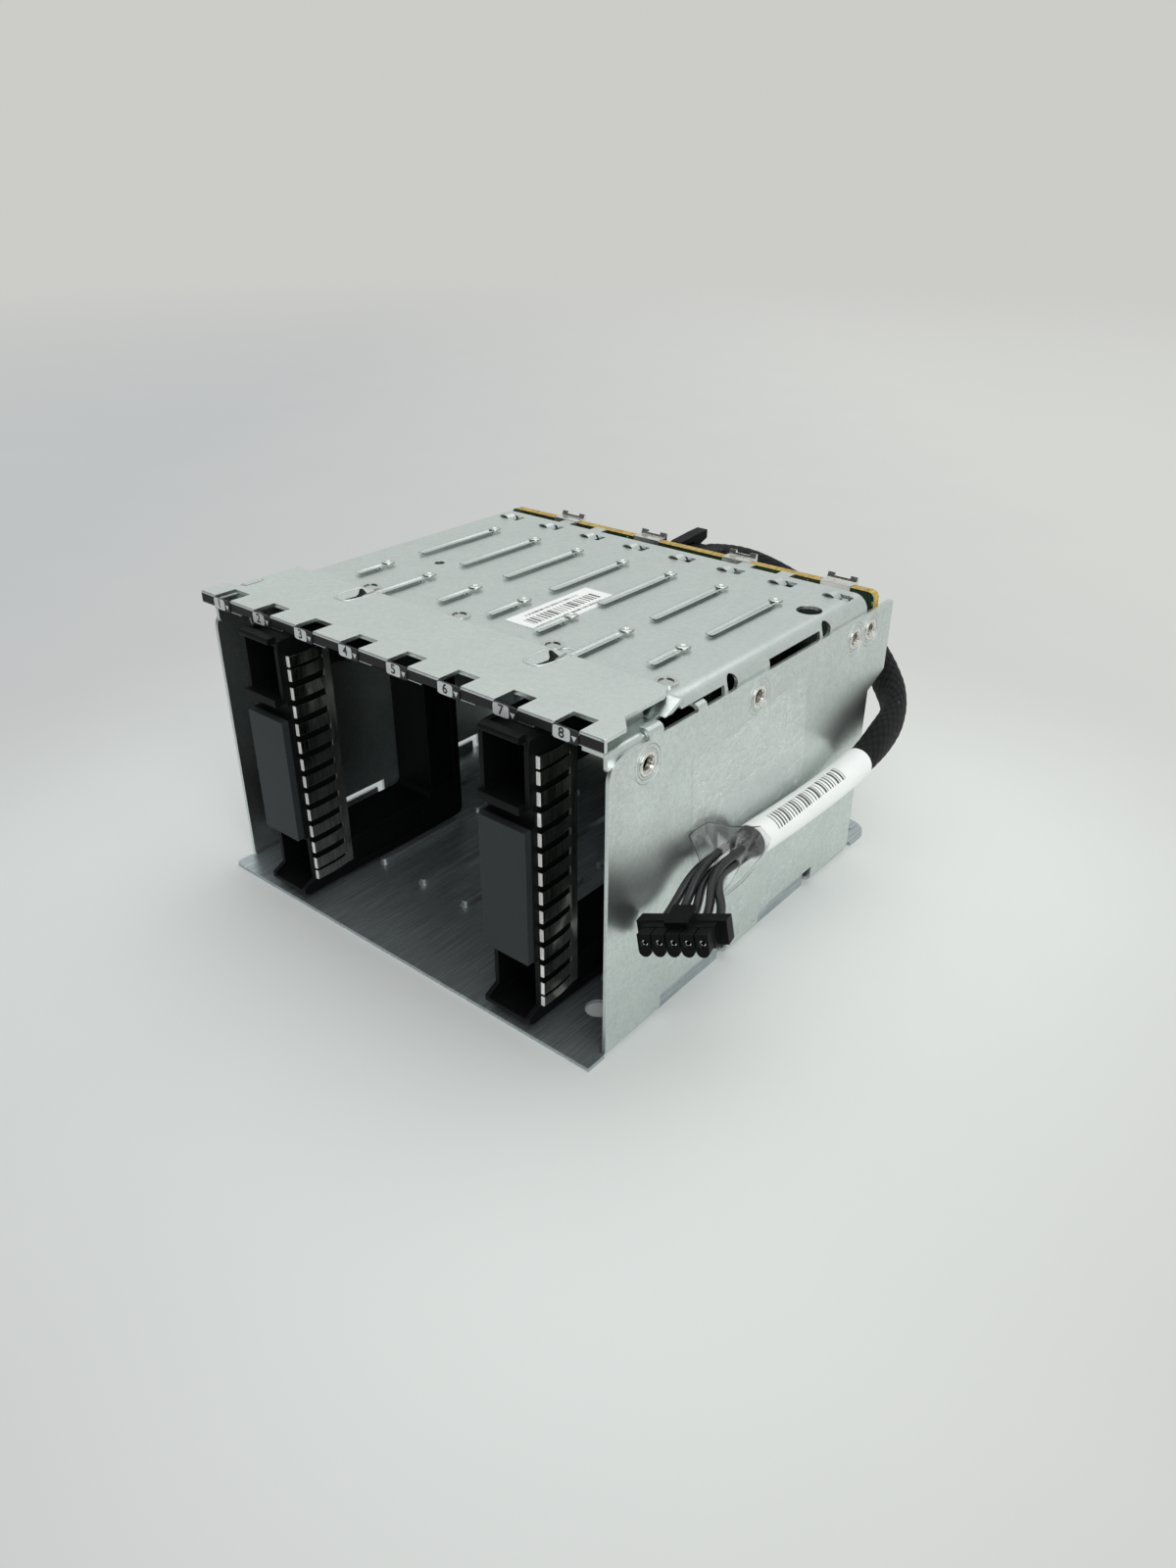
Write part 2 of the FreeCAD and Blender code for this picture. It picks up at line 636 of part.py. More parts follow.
# ---------------------------------------------------------------- front cover
def front_cover():
    edge = "outer_half"
    corners = [
        (f"-1 * {edge} - 2.6", "-1 * cover_nose"),
        (f"{edge} - 0.8", "-1 * cover_nose"),
        (f"{edge} - 0.8", "6.5"),
        (f"{edge} - 4.4", "10.5"),
        (f"{edge} - 4.4", "24.6"),
        (f"{edge} - 6.4", "cover_back"),
        (f"-1 * {edge} + 1.2", "cover_back"),
        (f"-1 * {edge} + 1.2", "15.8"),
        (f"-1 * {edge} + 3.6", "15.0"),
        (f"-1 * {edge} + 3.6", "8.8"),
        (f"-1 * {edge} - 2.6", "6.8"),
    ]
    sheet = plate("CoverSheet", "z", "top_level", "cover_level", corners)
    rounded(sheet, "z", [(f"{edge} - 0.8", "-1 * cover_nose")], "1.2")
    lip_profile = [
        ("-1 * cover_nose", "cover_level - cover_lip"),
        ("cover_gauge - cover_nose", "cover_level - cover_lip"),
        ("cover_gauge - cover_nose", "cover_level"),
        ("-1 * cover_nose", "cover_level"),
    ]
    lip = plate("CoverLip", "x", f"-1 * {edge} - 2.6", f"{edge} - 0.8", lip_profile)
    rounded(lip, "x", [("-1 * cover_nose", "cover_level")], "0.7")
    joined_sheet = joined("CoverBlank", [sheet, lip])
    tools = [
        box("CoverNoseTrim", (f"-1 * {edge} - 4", f"{edge} + 2"), ("-1 * cover_nose - 1", "-1 * cover_nose + 0.2"),
            ("cover_level - 0.2", "cover_level + 1"))
    ]
    for number in BAYS:
        middle = f"{bay(number)} + window_shift"
        tools.append(
            box(f"Window{number}", (f"{middle} - window_wide / 2", f"{middle} + window_wide / 2"),
                ("-1 * cover_nose - 1", "window_deep - cover_nose"), ("cover_level - 1.1", "cover_level + 1"))
        )
    for number in between:
        middle = f"{bay(number)} + bay_pitch / 2"
        tools.append(
            box(f"Scallop{number}", (f"{middle} - 2.6", f"{middle} + 2.6"), ("-1 * cover_nose - 1", "1"),
                ("cover_level - cover_lip - 1", "cover_level - cover_lip + 0.5"))
        )
    solid = cut("CoverCut", joined_sheet, tools)
    part(solid, "front_cover_plate")


front_cover()

CLINCHES = ("inner_half * -0.597", "inner_half * -0.089", "inner_half * 0.38", "inner_half * 0.878")


def clinch_buttons():
    """Round pressed buttons behind the cover's rear edge, each a dish with a raised rim."""
    pieces = []
    for number, x in enumerate(CLINCHES, start=1):
        y = "cover_back + 3.1"
        rim = rod(f"ClinchRim{number}", "z", (x, y), "2.9", "top_level", "top_level + 0.45")
        dish = rod(f"ClinchDish{number}", "z", (x, y), "1.9", "top_level + 0.15", "top_level + 1")
        pieces.append(cut(f"Clinch{number}", rim, [dish]))
    group = doc.addObject("Part::Compound", "CoverClinches")
    group.Links = pieces
    part(group, "cover_clinch_buttons")


clinch_buttons()

# ---------------------------------------------------------------- backplane board and what it carries
SCREW_SPOTS = [(side, "(" + low + " + " + high + ") / 2") for side in (-1, 1) for low, high in BOARD_TABS]


def backplane():
    corners = [
        ("-1 * board_half", "board_low"),
        ("board_half", "board_low"),
        ("board_half", "19"),
        ("board_half - 2", "21"),
        ("board_half - 2", "board_high - 32.4"),
        ("board_half", "board_high - 30.4"),
        ("board_half", "board_high"),
        ("-1 * board_half", "board_high"),
        ("-1 * board_half", "board_high - 30.4"),
        ("2 - board_half", "board_high - 32.4"),
        ("2 - board_half", "21"),
        ("-1 * board_half", "19"),
    ]
    holes = [((f"{side} * (inner_half - 5)", rise), "1.7") for side, rise in SCREW_SPOTS]
    board = plate("Backplane", "y", "board_front", "board_back", corners, circles=holes)
    rounded(board, "y", [("board_half", "board_high"), ("-1 * board_half", "board_high")], "2")
    part(board, "backplane_board")


backplane()


def board_screws():
    """Pan head screws from the rear, through the board into the walls' tabs."""
    pieces = []
    for number, (side, rise) in enumerate(SCREW_SPOTS, start=1):
        centre = (f"{side} * (inner_half - 5)", rise)
        shank = rod(f"Shank{number}", "y", centre, "1.45", "board_front - gauge - 1.5", "board_back + 0.5")
        head = rod(f"Head{number}", "y", centre, "2.8", "board_back", "board_back + 1.9")
        cross = [
            box(f"CrossA{number}", (f"{centre[0]} - 1.4", f"{centre[0]} + 1.4"),
                ("board_back + 0.9", "board_back + 3"), (f"{rise} - 0.3", f"{rise} + 0.3")),
            box(f"CrossB{number}", (f"{centre[0]} - 0.3", f"{centre[0]} + 0.3"),
                ("board_back + 0.9", "board_back + 3"), (f"{rise} - 1.4", f"{rise} + 1.4")),
        ]
        pieces.append(cut(f"BoardScrew{number}", joined(f"ScrewBody{number}", [shank, head]), cross))
    group = doc.addObject("Part::Compound", "BoardScrews")
    group.Links = pieces
    part(group, "board_screws")


board_screws()


def drive_connector(number):
    """A drive's mating connector: an upright housing with a contact slot and a keyed step."""
    x = bay(number)
    half = "socket_wide / 2"
    corners = [
        (f"{x} - {half}", "socket_rise - socket_long / 2"),
        (f"{x} + {half}", "socket_rise - socket_long / 2"),
        (f"{x} + {half}", "socket_rise + socket_long / 2"),
        (f"{x} - {half}", "socket_rise + socket_long / 2"),
    ]
    body = plate(f"Socket{number}", "y", "board_front - socket_deep", "board_front", corners)
    rounded(body, "y", corners, "0.8")
    slots = []
    for low, high in (("-19", "-4.2"), ("-3", "19")):
        slots.append(
            box(f"SocketSlot{number}{len(slots)}", (f"{x} - 0.4", f"{x} + 1.1"),
                ("board_front - socket_deep - 1", "board_front - 2.5"),
                (f"socket_rise + {low}", f"socket_rise + {high}"))
        )
    slots.append(
        box(f"SocketKey{number}", (f"{x} + {half} - 0.9", f"{x} + {half} + 1"),
            ("board_front - socket_deep - 1", "board_front - 3.5"),
            ("socket_rise - socket_long / 2 - 1", "socket_rise - socket_long / 2 + 5"))
    )
    part(cut(f"SocketCut{number}", body, slots), f"drive_connector_{number}")


for number in BAYS:
    drive_connector(number)


def board_clip(number, x):
    """A sprung clip over the board's upper edge, its rear leg split into two ears."""
    corners = [
        ("board_front - 0.5", "board_high - 5"),
        ("board_front", "board_high - 5"),
        ("board_front", "board_high"),
        ("board_back", "board_high"),
        ("board_back", "board_high - 9"),
        ("board_back + 0.6", "board_high - 9"),
        ("board_back + 1.4", "board_high + 1.6"),
        ("board_back + 0.9", "board_high + 1.9"),
        ("board_back + 0.3", "board_high + 0.5"),
        ("board_front - 0.5", "board_high + 0.5"),
    ]
    strip = plate(f"ClipStrip{number}", "x", f"{x} - 4.6", f"{x} + 4.6", corners)
    notch = box(f"ClipNotch{number}", (f"{x} - 2.4", f"{x} + 2.4"), ("board_back + 0.61", "board_back + 4"),
                ("board_high - 4", "board_high + 4"))
    part(cut(f"Clip{number}", strip, [notch]), f"board_clip_{number}")


CLIPS = 4
CLIP_PITCH = 0.486
CLIP_MIDDLE = 0.092
for number in range(1, CLIPS + 1):
    board_clip(number, f"inner_half * {CLIP_MIDDLE + (number - (CLIPS + 1) / 2) * CLIP_PITCH}")

HEADER_X = ("-5.2", "9.4")
HEADER_Z = ("board_high - 12.4", "board_high - 2.2")
PLUG_BACK = "board_back + 14"


def power_header():
    """The board's power inlet: a shroud open to the rear, with one key rib."""
    shell = box("HeaderShell", HEADER_X, ("board_back", "board_back + 8.5"), HEADER_Z)
    cavity = box("HeaderCavity", (f"{HEADER_X[0]} + 1", f"{HEADER_X[1]} - 1"),
                 ("board_back + 1.2", "board_back + 10"), (f"{HEADER_Z[0]} + 1", f"{HEADER_Z[1]} - 1"))
    part(cut("PowerHeader", shell, [cavity]), "power_header")


power_header()


def board_plug():
    """The lead's plug at the board, with its latch arm hooked over the shroud."""
    gap = "run_gap"
    core = box("PlugCore", (f"{HEADER_X[0]} + 1 + {gap}", f"{HEADER_X[1]} - 1 - {gap}"),
               ("board_back + 1.5", PLUG_BACK),
               (f"{HEADER_Z[0]} + 1 + {gap}", f"{HEADER_Z[1]} - 1 - {gap}"))
    arm = plate("PlugArm", "x", "-4.5", "-0.7", [
        ("board_back + 1.6", f"{HEADER_Z[1]} + 0.3"),
        ("board_back + 9.4", f"{HEADER_Z[1]} + 0.5"),
        ("board_back + 9.4", f"{HEADER_Z[1]} - 1.5"),
        ("board_back + 11.4", f"{HEADER_Z[1]} - 1.5"),
        ("board_back + 16.4", f"{HEADER_Z[1]} + 0.2"),
        ("board_back + 16.4", f"{HEADER_Z[1]} + 2.8"),
        ("board_back + 11.6", f"{HEADER_Z[1]} + 2.6"),
        ("board_back + 2.2", f"{HEADER_Z[1]} + 1.8"),
        ("board_back + 1.6", f"{HEADER_Z[1]} + 1.2"),
    ])
    part(joined("BoardPlug", [core, arm]), "board_power_plug")


board_plug()


def data_connector(number, x):
    """A data connector on the board's rear face: a folded metal cage round a dark tongue."""
    cage = box(f"DataCage{number}", (f"{x} - 9", f"{x} + 9"), ("board_back", "board_back + 12"), ("34", "43"))
    mouth = box(f"DataMouth{number}", (f"{x} - 8.3", f"{x} + 8.3"), ("board_back + 2", "board_back + 13"),
                ("34.7", "42.3"))
    tongue = box(f"DataTongue{number}", (f"{x} - 7", f"{x} + 7"), ("board_back + 1.9", "board_back + 10"),
                 ("38", "39.2"))
    part(joined(f"Data{number}", [cut(f"DataShell{number}", cage, [mouth]), tongue]), f"data_connector_{number}")


for number, x in enumerate((bay(3), bay(6)), start=1):
    data_connector(number, x)


# ---------------------------------------------------------------- drive blanks
PANEL_LOW = "20.8"
PANEL_HIGH = "blank_high - 22"
LEDGE_LOW = "blank_high - 18.2"
LEDGE_HIGH = "blank_high - 16.2"
SCOOP_LIP = "blank_low + 2.4"


def blank_frame(number):
    """An open moulded frame: grip, ledge and scooped foot in front, rails and a column behind."""
    x = bay(number)
    corners = [
        ("1.2 - blank_nose", "blank_low"),
        ("blank_back", "blank_low"),
        ("blank_back", "blank_high - 1"),
        ("pivot_back + 4", "blank_high - 1"),
        ("pivot_back + 3", "blank_high"),
        ("-2.2", "blank_high"),
        ("2 - blank_nose", "blank_high - 0.4"),
        ("1.6 - blank_nose", "blank_high - 2.6"),
        ("1.6 - blank_nose", LEDGE_HIGH),
        ("-1 * blank_nose", LEDGE_HIGH),
        ("-1 * blank_nose", LEDGE_LOW),
        ("-2.2", LEDGE_LOW),
        ("-2.2", PANEL_HIGH),
        ("2 - blank_nose", PANEL_HIGH),
        ("2 - blank_nose", PANEL_LOW),
        ("-2.2", PANEL_LOW),
        ("-2.2", "blank_low + 4.3"),
        ("-0.4 - blank_nose", SCOOP_LIP),
        ("-0.4 - blank_nose", "blank_low + 0.8"),
    ]
    gap = [
        ("9", "blank_low + 11"),
        ("blank_back - 12.5", "blank_low + 11"),
        ("blank_back - 12.5", "blank_high - 11.2"),
        ("9", "blank_high - 11.2"),
    ]
    frame = plate(f"Frame{number}", "x", f"{x} - blank_half", f"{x} + blank_half", corners, holes=[gap])
    rounded(frame, "x", gap, "2")
    rounded(frame, "x", [("blank_back", "blank_low"), ("blank_back", "blank_high - 1")], "2.5")
    inner = (f"{x} - blank_half + cheek", f"{x} + blank_half - cheek")
    front = "-1 * blank_nose - 1"
    tools = [
        box(f"Grip{number}", inner, (front, "7.4"), (LEDGE_HIGH, "blank_high - 2.8")),
        box(f"LatchBed{number}", inner, (front, "pivot_back + 3"), ("blank_high - 4", "blank_high + 1")),
        box(f"Scoop{number}", inner, (front, "6"), ("blank_low + 1.8", f"{PANEL_LOW} - 1.2")),
        rod(f"PivotBore{number}", "x", ("pivot_back", "pivot_rise"), "pivot_round + fit_gap",
            f"{x} - blank_half + 0.5", f"{x} + blank_half - 0.5"),
    ]
    for side in (-1, 1):
        ends = [f"{x} + {side} * blank_half - 0.8", f"{x} + {side} * blank_half + 0.8"]
        tools.append(box(f"RailCore{number}{side + 2}", ends, ("13", "blank_back - 16"),
                         ("blank_low + 2.2", "blank_low + 8.8")))
        tools.append(box(f"ColumnCore{number}{side + 2}", ends, ("blank_back - 10.3", "blank_back - 2.2"),
                         ("16", "blank_high - 13.2")))
    tools.append(box(f"LedgeStop{number}", (f"{x} + blank_half - cheek - 0.6", f"{x} + blank_half + 1"),
                     (front, "-3.2"), (f"{LEDGE_LOW} - 1", f"{LEDGE_HIGH} + 0.1")))
    part(cut(f"BlankFrame{number}", frame, tools), f"blank_{number}_frame")


def blank_panel(number):
    x = bay(number)
    corners = [
        (f"{x} - blank_half + 0.2", f"{PANEL_LOW} + 0.2"),
        (f"{x} + blank_half - 0.2", f"{PANEL_LOW} + 0.2"),
        (f"{x} + blank_half - 0.2", f"{PANEL_HIGH} - 0.2"),
        (f"{x} - blank_half + 0.2", f"{PANEL_HIGH} - 0.2"),
    ]
    body = plate(f"Panel{number}", "y", "-1 * blank_nose", "2 - blank_nose", corners)
    rounded(body, "y", corners, "0.4")
    part(body, f"blank_{number}_face_panel")


def blank_latch(number):
    """The sprung release: a finger bar in front, a hook under the cover's window, pivots behind."""
    x = bay(number)
    arm_half = "(blank_half - cheek - run_gap)"
    bar = plate(f"LatchBar{number}", "x", f"{x} - {arm_half}", f"{x} + {arm_half}", [
        ("-1 * blank_nose", "pivot_rise + 0.8"),
        ("-3.1", "pivot_rise + 0.6"),
        ("-3.1", "pivot_rise + 2.6"),
        ("-1 * blank_nose", "pivot_rise + 2.4"),
    ])
    rounded(bar, "x", [("-1 * blank_nose", "pivot_rise + 0.8"), ("-1 * blank_nose", "pivot_rise + 2.4")], "0.6")
    arm = plate(f"LatchArm{number}", "x", f"{x} - {arm_half}", f"{x} + {arm_half}", [
        ("-3.3", "pivot_rise - 0.2"),
        ("pivot_back", "pivot_rise - 0.7"),
        ("pivot_back", "pivot_rise + 0.7"),
        ("4.6", "pivot_rise + 0.9"),
        ("4.2", "pivot_rise + 2.9"),
        ("3.2", "pivot_rise + 2.9"),
        ("1.4", "pivot_rise + 1.1"),
        ("-3.3", "pivot_rise + 1.2"),
    ])
    eye = rod(f"LatchEye{number}", "x", ("pivot_back", "pivot_rise"), "1.4",
              f"{x} - {arm_half}", f"{x} + {arm_half}")
    pivot = rod(f"LatchPivot{number}", "x", ("pivot_back", "pivot_rise"), "pivot_round",
                f"{x} - blank_half + 0.7", f"{x} + blank_half - 0.7")
    part(joined(f"Latch{number}", [bar, arm, eye, pivot]), f"blank_{number}_latch")


def finger_profile(x):
    """One bowed finger in plan: a hem across the front, a bow outwards and a tail on the side."""
    root = x + value("blank_half")
    sheet = value("finger_gauge")
    reach = 1.0
    front = Vector(root, -1.7, 0)
    nose = Vector(root + reach - 0.1, -1.55, 0)
    crown = Vector(root + reach, 3.2, 0)
    tail = Vector(root + 0.3, 9.4, 0)
    inward = Vector(-sheet, 0, 0)
    edges = [
        Part.LineSegment(front, nose).toShape(),
        Part.Arc(nose, crown, tail).toShape(),
        Part.LineSegment(tail, Vector(root, 9.7, 0)).toShape(),
        Part.LineSegment(Vector(root, 9.7, 0), Vector(root, 9.2, 0)).toShape(),
        Part.LineSegment(Vector(root, 9.2, 0), tail + inward + Vector(0, -0.3, 0)).toShape(),
        Part.Arc(tail + inward + Vector(0, -0.3, 0), crown + inward, nose + inward + Vector(0, sheet, 0)).toShape(),
        Part.LineSegment(nose + inward + Vector(0, sheet, 0), front + Vector(0, sheet, 0)).toShape(),
        Part.LineSegment(front + Vector(0, sheet, 0), front).toShape(),
    ]
    return Part.Face(Part.Wire(edges))


def finger_spans():
    """Low and high ends of the fingers: close pairs at the strip's ends, an even row between."""
    low = value("finger_low")
    pitch = value("finger_pitch")
    wide = value("finger_wide")
    first = low + 3.5
    total = int(value("(blank_high - finger_low - 14.5) / finger_pitch"))
    spans = [(low, low + 2.7)]
    spans += [(first + step * pitch, first + step * pitch + wide) for step in range(total)]
    upper = first + total * pitch
    spans += [(upper, upper + 3.2), (upper + 4.0, upper + 6.9)]
    return spans


def finger_strip(number):
    """A strip of sprung contact fingers down the blank's side, joined along its rear edge."""
    x = value(bay(number))
    profile = finger_profile(x)
    spans = finger_spans()
    blades = []
    for low, high in spans:
        blade = profile.extrude(Vector(0, 0, high - low))
        blade.translate(Vector(0, 0, low))
        blades.append(blade)
    low = spans[0][0]
    root = x + value("blank_half")
    spine = Part.makeBox(value("finger_gauge"), 2.4, spans[-1][1] - low, Vector(root, 9.2, low))
    strip = doc.addObject("Part::Feature", f"Fingers{number}")
    strip.Shape = spine.multiFuse(blades).removeSplitter()
    part(strip, f"blank_{number}_finger_strip")


BLANKS = (2, 7)
for number in BLANKS:
    blank_frame(number)
    blank_panel(number)
    blank_latch(number)
    finger_strip(number)


# ---------------------------------------------------------------- power lead
LEAD_POINTS = [
    (1.4, 134.0, 75.1),
    (3.0, 148.2, 72.4),
    (14.8, 157.2, 66.4),
    (32.5, 154.2, 61.4),
    (50.5, 145.6, 57.6),
    (62.8, 138.6, 51.8),
    (74.0, 128.5, 44.7),
    (75.2, 111.4, 39.6),
    (73.9, 93.0, 36.6),
    (73.4, 71.0, 36.6),
    (73.2, 49.0, 37.8),
]
WALL_OUT = value("outer_half + lead_round - 72.4")
BOARD_ON = value("board_front - 117")
TOP_UP = value("top_level - 82.8")


def carried(spot):
    """A point of the lead for another size of cage: the wall end keeps to the wall, the board end to the board."""
    x, y, z = spot
    return (
        x + WALL_OUT * min(1.0, x / 70),
        y + BOARD_ON * (y - 49) / 85,
        z + TOP_UP * (z - 37.8) / 37.3,
    )


LEAD_ROUTE = [carried(spot) for spot in LEAD_POINTS]


def rope(route, radius):
    """A round tube along straight runs joined by arcs that touch them; gives it and its length."""
    points = [Vector(*spot) for spot in route]
    edges = []
    here = points[0]
    length = 0.0
    radii = []
    for before, corner, after in zip(points, points[1:], points[2:]):
        back = (before - corner).normalize()
        on = (after - corner).normalize()
        turn = math.pi - back.getAngle(on)
        shorter = min((before - corner).Length, (after - corner).Length)
        trim = 0.45 * shorter
        bend = trim / math.tan(turn / 2)
        start = corner + back * trim
        end = corner + on * trim
        lift = (back + on).normalize()
        middle = corner + lift * (bend / math.cos(turn / 2) - bend)
        if (start - here).Length > 1e-6:
            edges.append(Part.LineSegment(here, start).toShape())
            length += (start - here).Length
        edges.append(Part.Arc(start, middle, end).toShape())
        length += bend * turn
        radii.append(bend)
        here = end
    edges.append(Part.LineSegment(here, points[-1]).toShape())
    length += (points[-1] - here).Length
    spine = Part.Wire(edges)
    heading = (points[1] - points[0]).normalize()
    ring = Part.Wire(Part.Circle(points[0], heading, radius).toShape())
    tube = spine.makePipeShell([ring], True, False)
    expected = math.pi * radius**2 * length
    if abs(tube.Volume / expected - 1) > 0.01:
        raise RuntimeError("the tube's volume is not its section times its length")
    print("section", radius, "bends", [round(bend, 1) for bend in radii], "length", round(length, 1))
    return tube


lead = doc.addObject("Part::Feature", "PowerLead")
lead.Shape = rope(LEAD_ROUTE, value("lead_round"))
part(lead, "power_lead_sleeve")


def lead_label():
    """A paper label wrapped round the lead's stretch along the wall."""
    inner = value("lead_round") + 0.15
    outer = inner + value("film")
    front, back = 50.4, 103.5
    low = Vector(value("outer_half") - 5, front, 20)
    room = Part.makeBox(30, back - front, 40, low)
    wrap = rope(LEAD_ROUTE, outer).common(room)
    label = doc.addObject("Part::Feature", "LeadLabel")
    label.Shape = wrap.cut(rope(LEAD_ROUTE, inner))
    part(label, "lead_label")


lead_label()

# ---------------------------------------------------------------- plug on the lead's free end
PLUG_SPOT = Vector(82.3 + WALL_OUT, 5.1, 37.0)
PLUG_TURN = (
    Rotation(Vector(0, 0, 1), 17) * Rotation(Vector(1, 0, 0), -11) * Rotation(Vector(0, 1, 0), -14)
)
PLUG_CELLS = 5
HOUSING_LENGTH = 11.0


def end_plug():
    """A five-way housing: five cells with arched fronts, side ears, and a latch arm on top."""
    pitch = value("plug_pitch")
    half = pitch * PLUG_CELLS / 2
    block = Part.makeBox(2 * half, HOUSING_LENGTH - 4, 5.0, Vector(-half, 4, -2.5))
    block = block.fuse(Part.makeBox(2 * half + 4.4, 4.2, 5.6, Vector(-half - 2.2, HOUSING_LENGTH - 4.2, -2.8)))
    cells = []
    bores = []
    for step in range(PLUG_CELLS):
        x = (step - (PLUG_CELLS - 1) / 2) * pitch
        wide = pitch - 0.35
        cell = Part.makeBox(wide, 5, 3.9, Vector(x - wide / 2, 0, -1.6))
        belly = Part.makeCylinder(wide / 2, 5, Vector(x, 0, -1.5), Vector(0, 1, 0))
        cells += [cell, belly]
        bores.append(Part.makeCylinder(0.85, 4.5, Vector(x, -0.5, 0.1), Vector(0, 1, 0)))
    hinge = Part.makeBox(5.4, 2.6, 1.0, Vector(-2.7, HOUSING_LENGTH - 6.6, 2.4))
    lever = Part.makeBox(5.4, 7.6, 0.9, Vector(-2.7, 0, 0))
    lever.Placement = Placement(Vector(0, 3.4, 2.9), Rotation(Vector(1, 0, 0), 9))
    shape = block.multiFuse([*cells, hinge, lever]).cut(Part.makeCompound(bores))
    housing = doc.addObject("Part::Feature", "EndPlug")
    housing.Shape = shape.removeSplitter()
    housing.Placement = Placement(PLUG_SPOT, PLUG_TURN)
    part(housing, "lead_plug_housing")


def end_contacts():
    """The five sprung box contacts just inside the plug's mouth."""
    pitch = value("plug_pitch")
    pieces = []
    for step in range(PLUG_CELLS):
        x = (step - (PLUG_CELLS - 1) / 2) * pitch
        outer = Part.makeCylinder(0.8, 2.6, Vector(x, 0.7, 0.1), Vector(0, 1, 0))
        bore = Part.makeCylinder(0.5, 3.4, Vector(x, 0.3, 0.1), Vector(0, 1, 0))
        pieces.append(outer.cut(bore))
    contacts = doc.addObject("Part::Feature", "EndContacts")
    contacts.Shape = Part.makeCompound(pieces)
    contacts.Placement = Placement(PLUG_SPOT, PLUG_TURN)
    part(contacts, "lead_plug_contacts")


end_plug()
end_contacts()


def plug_wires():
    """Five wires fanned from the sleeve's end to the back of the plug."""
    pitch = value("plug_pitch")
    end = Vector(*LEAD_ROUTE[-1])
    middle = Vector(74.4 + WALL_OUT, 28.4, 39.8)
    spread = 2.6
    pieces = []
    for step, degrees in enumerate((180, 108, 252, 36, 324)):
        across = (step - (PLUG_CELLS - 1) / 2) * pitch
        seat = PLUG_SPOT + PLUG_TURN.multVec(Vector(across, HOUSING_LENGTH + 0.1, 0))
        behind = PLUG_SPOT + PLUG_TURN.multVec(Vector(across, HOUSING_LENGTH + 6.4, 0))
        angle = math.radians(degrees)
        fan = Vector(spread * math.cos(angle), 0, spread * math.sin(angle))
        start = end + fan + Vector(0, -0.3, 0)
        ahead = start + Vector(0.1, -8.0, 0.9)
        over = middle + fan * 0.55 + PLUG_TURN.multVec(Vector(across * 0.45, 0, 0))
        route = [tuple(start), tuple(ahead), tuple(over), tuple(behind), tuple(seat)]
        pieces.append(rope(route, value("wire_round")))
    wires = doc.addObject("Part::Feature", "PlugWires")
    wires.Shape = Part.makeCompound(pieces)
    part(wires, "plug_wires")


plug_wires()

# ---------------------------------------------------------------- tape and label
TAPE_EDGE = ((30, 67), (45, 67.6), (80.5, 72), (83, 52), (84, 8), (64, 3), (33, 31))
tape = plate("ClearTape", "x", "outer_half", "outer_half + film",
             [(str(depth), f"wall_rise * {rise / 78.5:.4f}") for depth, rise in TAPE_EDGE])
part(tape, "clear_tape")
label = plate("TopLabel", "z", "top_level", "top_level + film", [
    ("5", "37"), ("16.6", "37"), ("16.6", "69"), ("5", "69"),
])
part(label, "top_label")

# ---------------------------------------------------------------- checks and files
doc.recompute()
failed = [item.Name for item in doc.Objects if "Invalid" in item.State or "Error" in item.State]
if failed:
    raise RuntimeError("failed: " + ", ".join(failed))
for solid in named:
    shape = solid.Shape
    if shape.isNull() or not shape.isValid() or not shape.Solids:
        raise RuntimeError(solid.Label + " is null, open or not valid")
for solid in named:
    solid.Shape.exportStep(f"parts/{solid.Label}.step")
print(len(named), "sub-parts")
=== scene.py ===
import json
import math

import bmesh
import bpy
import numpy as np
from mathutils import Matrix, Vector


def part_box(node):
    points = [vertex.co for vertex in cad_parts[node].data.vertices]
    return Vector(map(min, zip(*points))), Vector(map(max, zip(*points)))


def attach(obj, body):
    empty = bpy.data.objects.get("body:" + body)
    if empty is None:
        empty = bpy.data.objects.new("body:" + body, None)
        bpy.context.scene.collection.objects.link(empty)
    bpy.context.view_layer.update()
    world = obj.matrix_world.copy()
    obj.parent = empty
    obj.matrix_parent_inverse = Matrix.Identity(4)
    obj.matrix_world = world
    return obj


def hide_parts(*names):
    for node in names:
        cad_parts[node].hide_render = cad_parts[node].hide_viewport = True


# Hot swap drive cage: finishes for the folded sheet, plastic and springs, the braided power lead with
# its five wires, the clear film on the wall and over the lead's end, the threads and rings of the wall
# inserts, the print on the cover's lip, and the pressed slots and grooves of the top.  Blender works in
# metres; sizes here are in millimetres unless a comment says otherwise, and MM turns them.

MM = 0.001

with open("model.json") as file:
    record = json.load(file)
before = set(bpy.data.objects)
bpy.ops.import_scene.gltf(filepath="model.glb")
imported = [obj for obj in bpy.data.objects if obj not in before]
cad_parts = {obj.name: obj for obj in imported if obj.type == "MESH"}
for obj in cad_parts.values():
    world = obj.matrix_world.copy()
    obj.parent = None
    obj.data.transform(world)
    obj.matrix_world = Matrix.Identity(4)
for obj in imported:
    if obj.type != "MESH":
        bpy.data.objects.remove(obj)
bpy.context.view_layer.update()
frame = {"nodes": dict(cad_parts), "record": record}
bpy.context.scene.view_settings.view_transform = "Standard"


def show(name, data):
    """An object of this name and data, linked to the scene."""
    holder = bpy.data.objects.new(name, data)
    bpy.context.collection.objects.link(holder)
    return holder


# ---------------------------------------------------------------- camera, placed in metres
CAMERA_PLACE = Vector((0.18937, -0.154379, 0.183276))
CAMERA_RIGHT = Vector((0.77187, 0.63576, 0.00333))
CAMERA_UP = Vector((-0.3121, 0.37435, 0.87318))
CAMERA_LENS = 25.412
SENSOR = 36.0


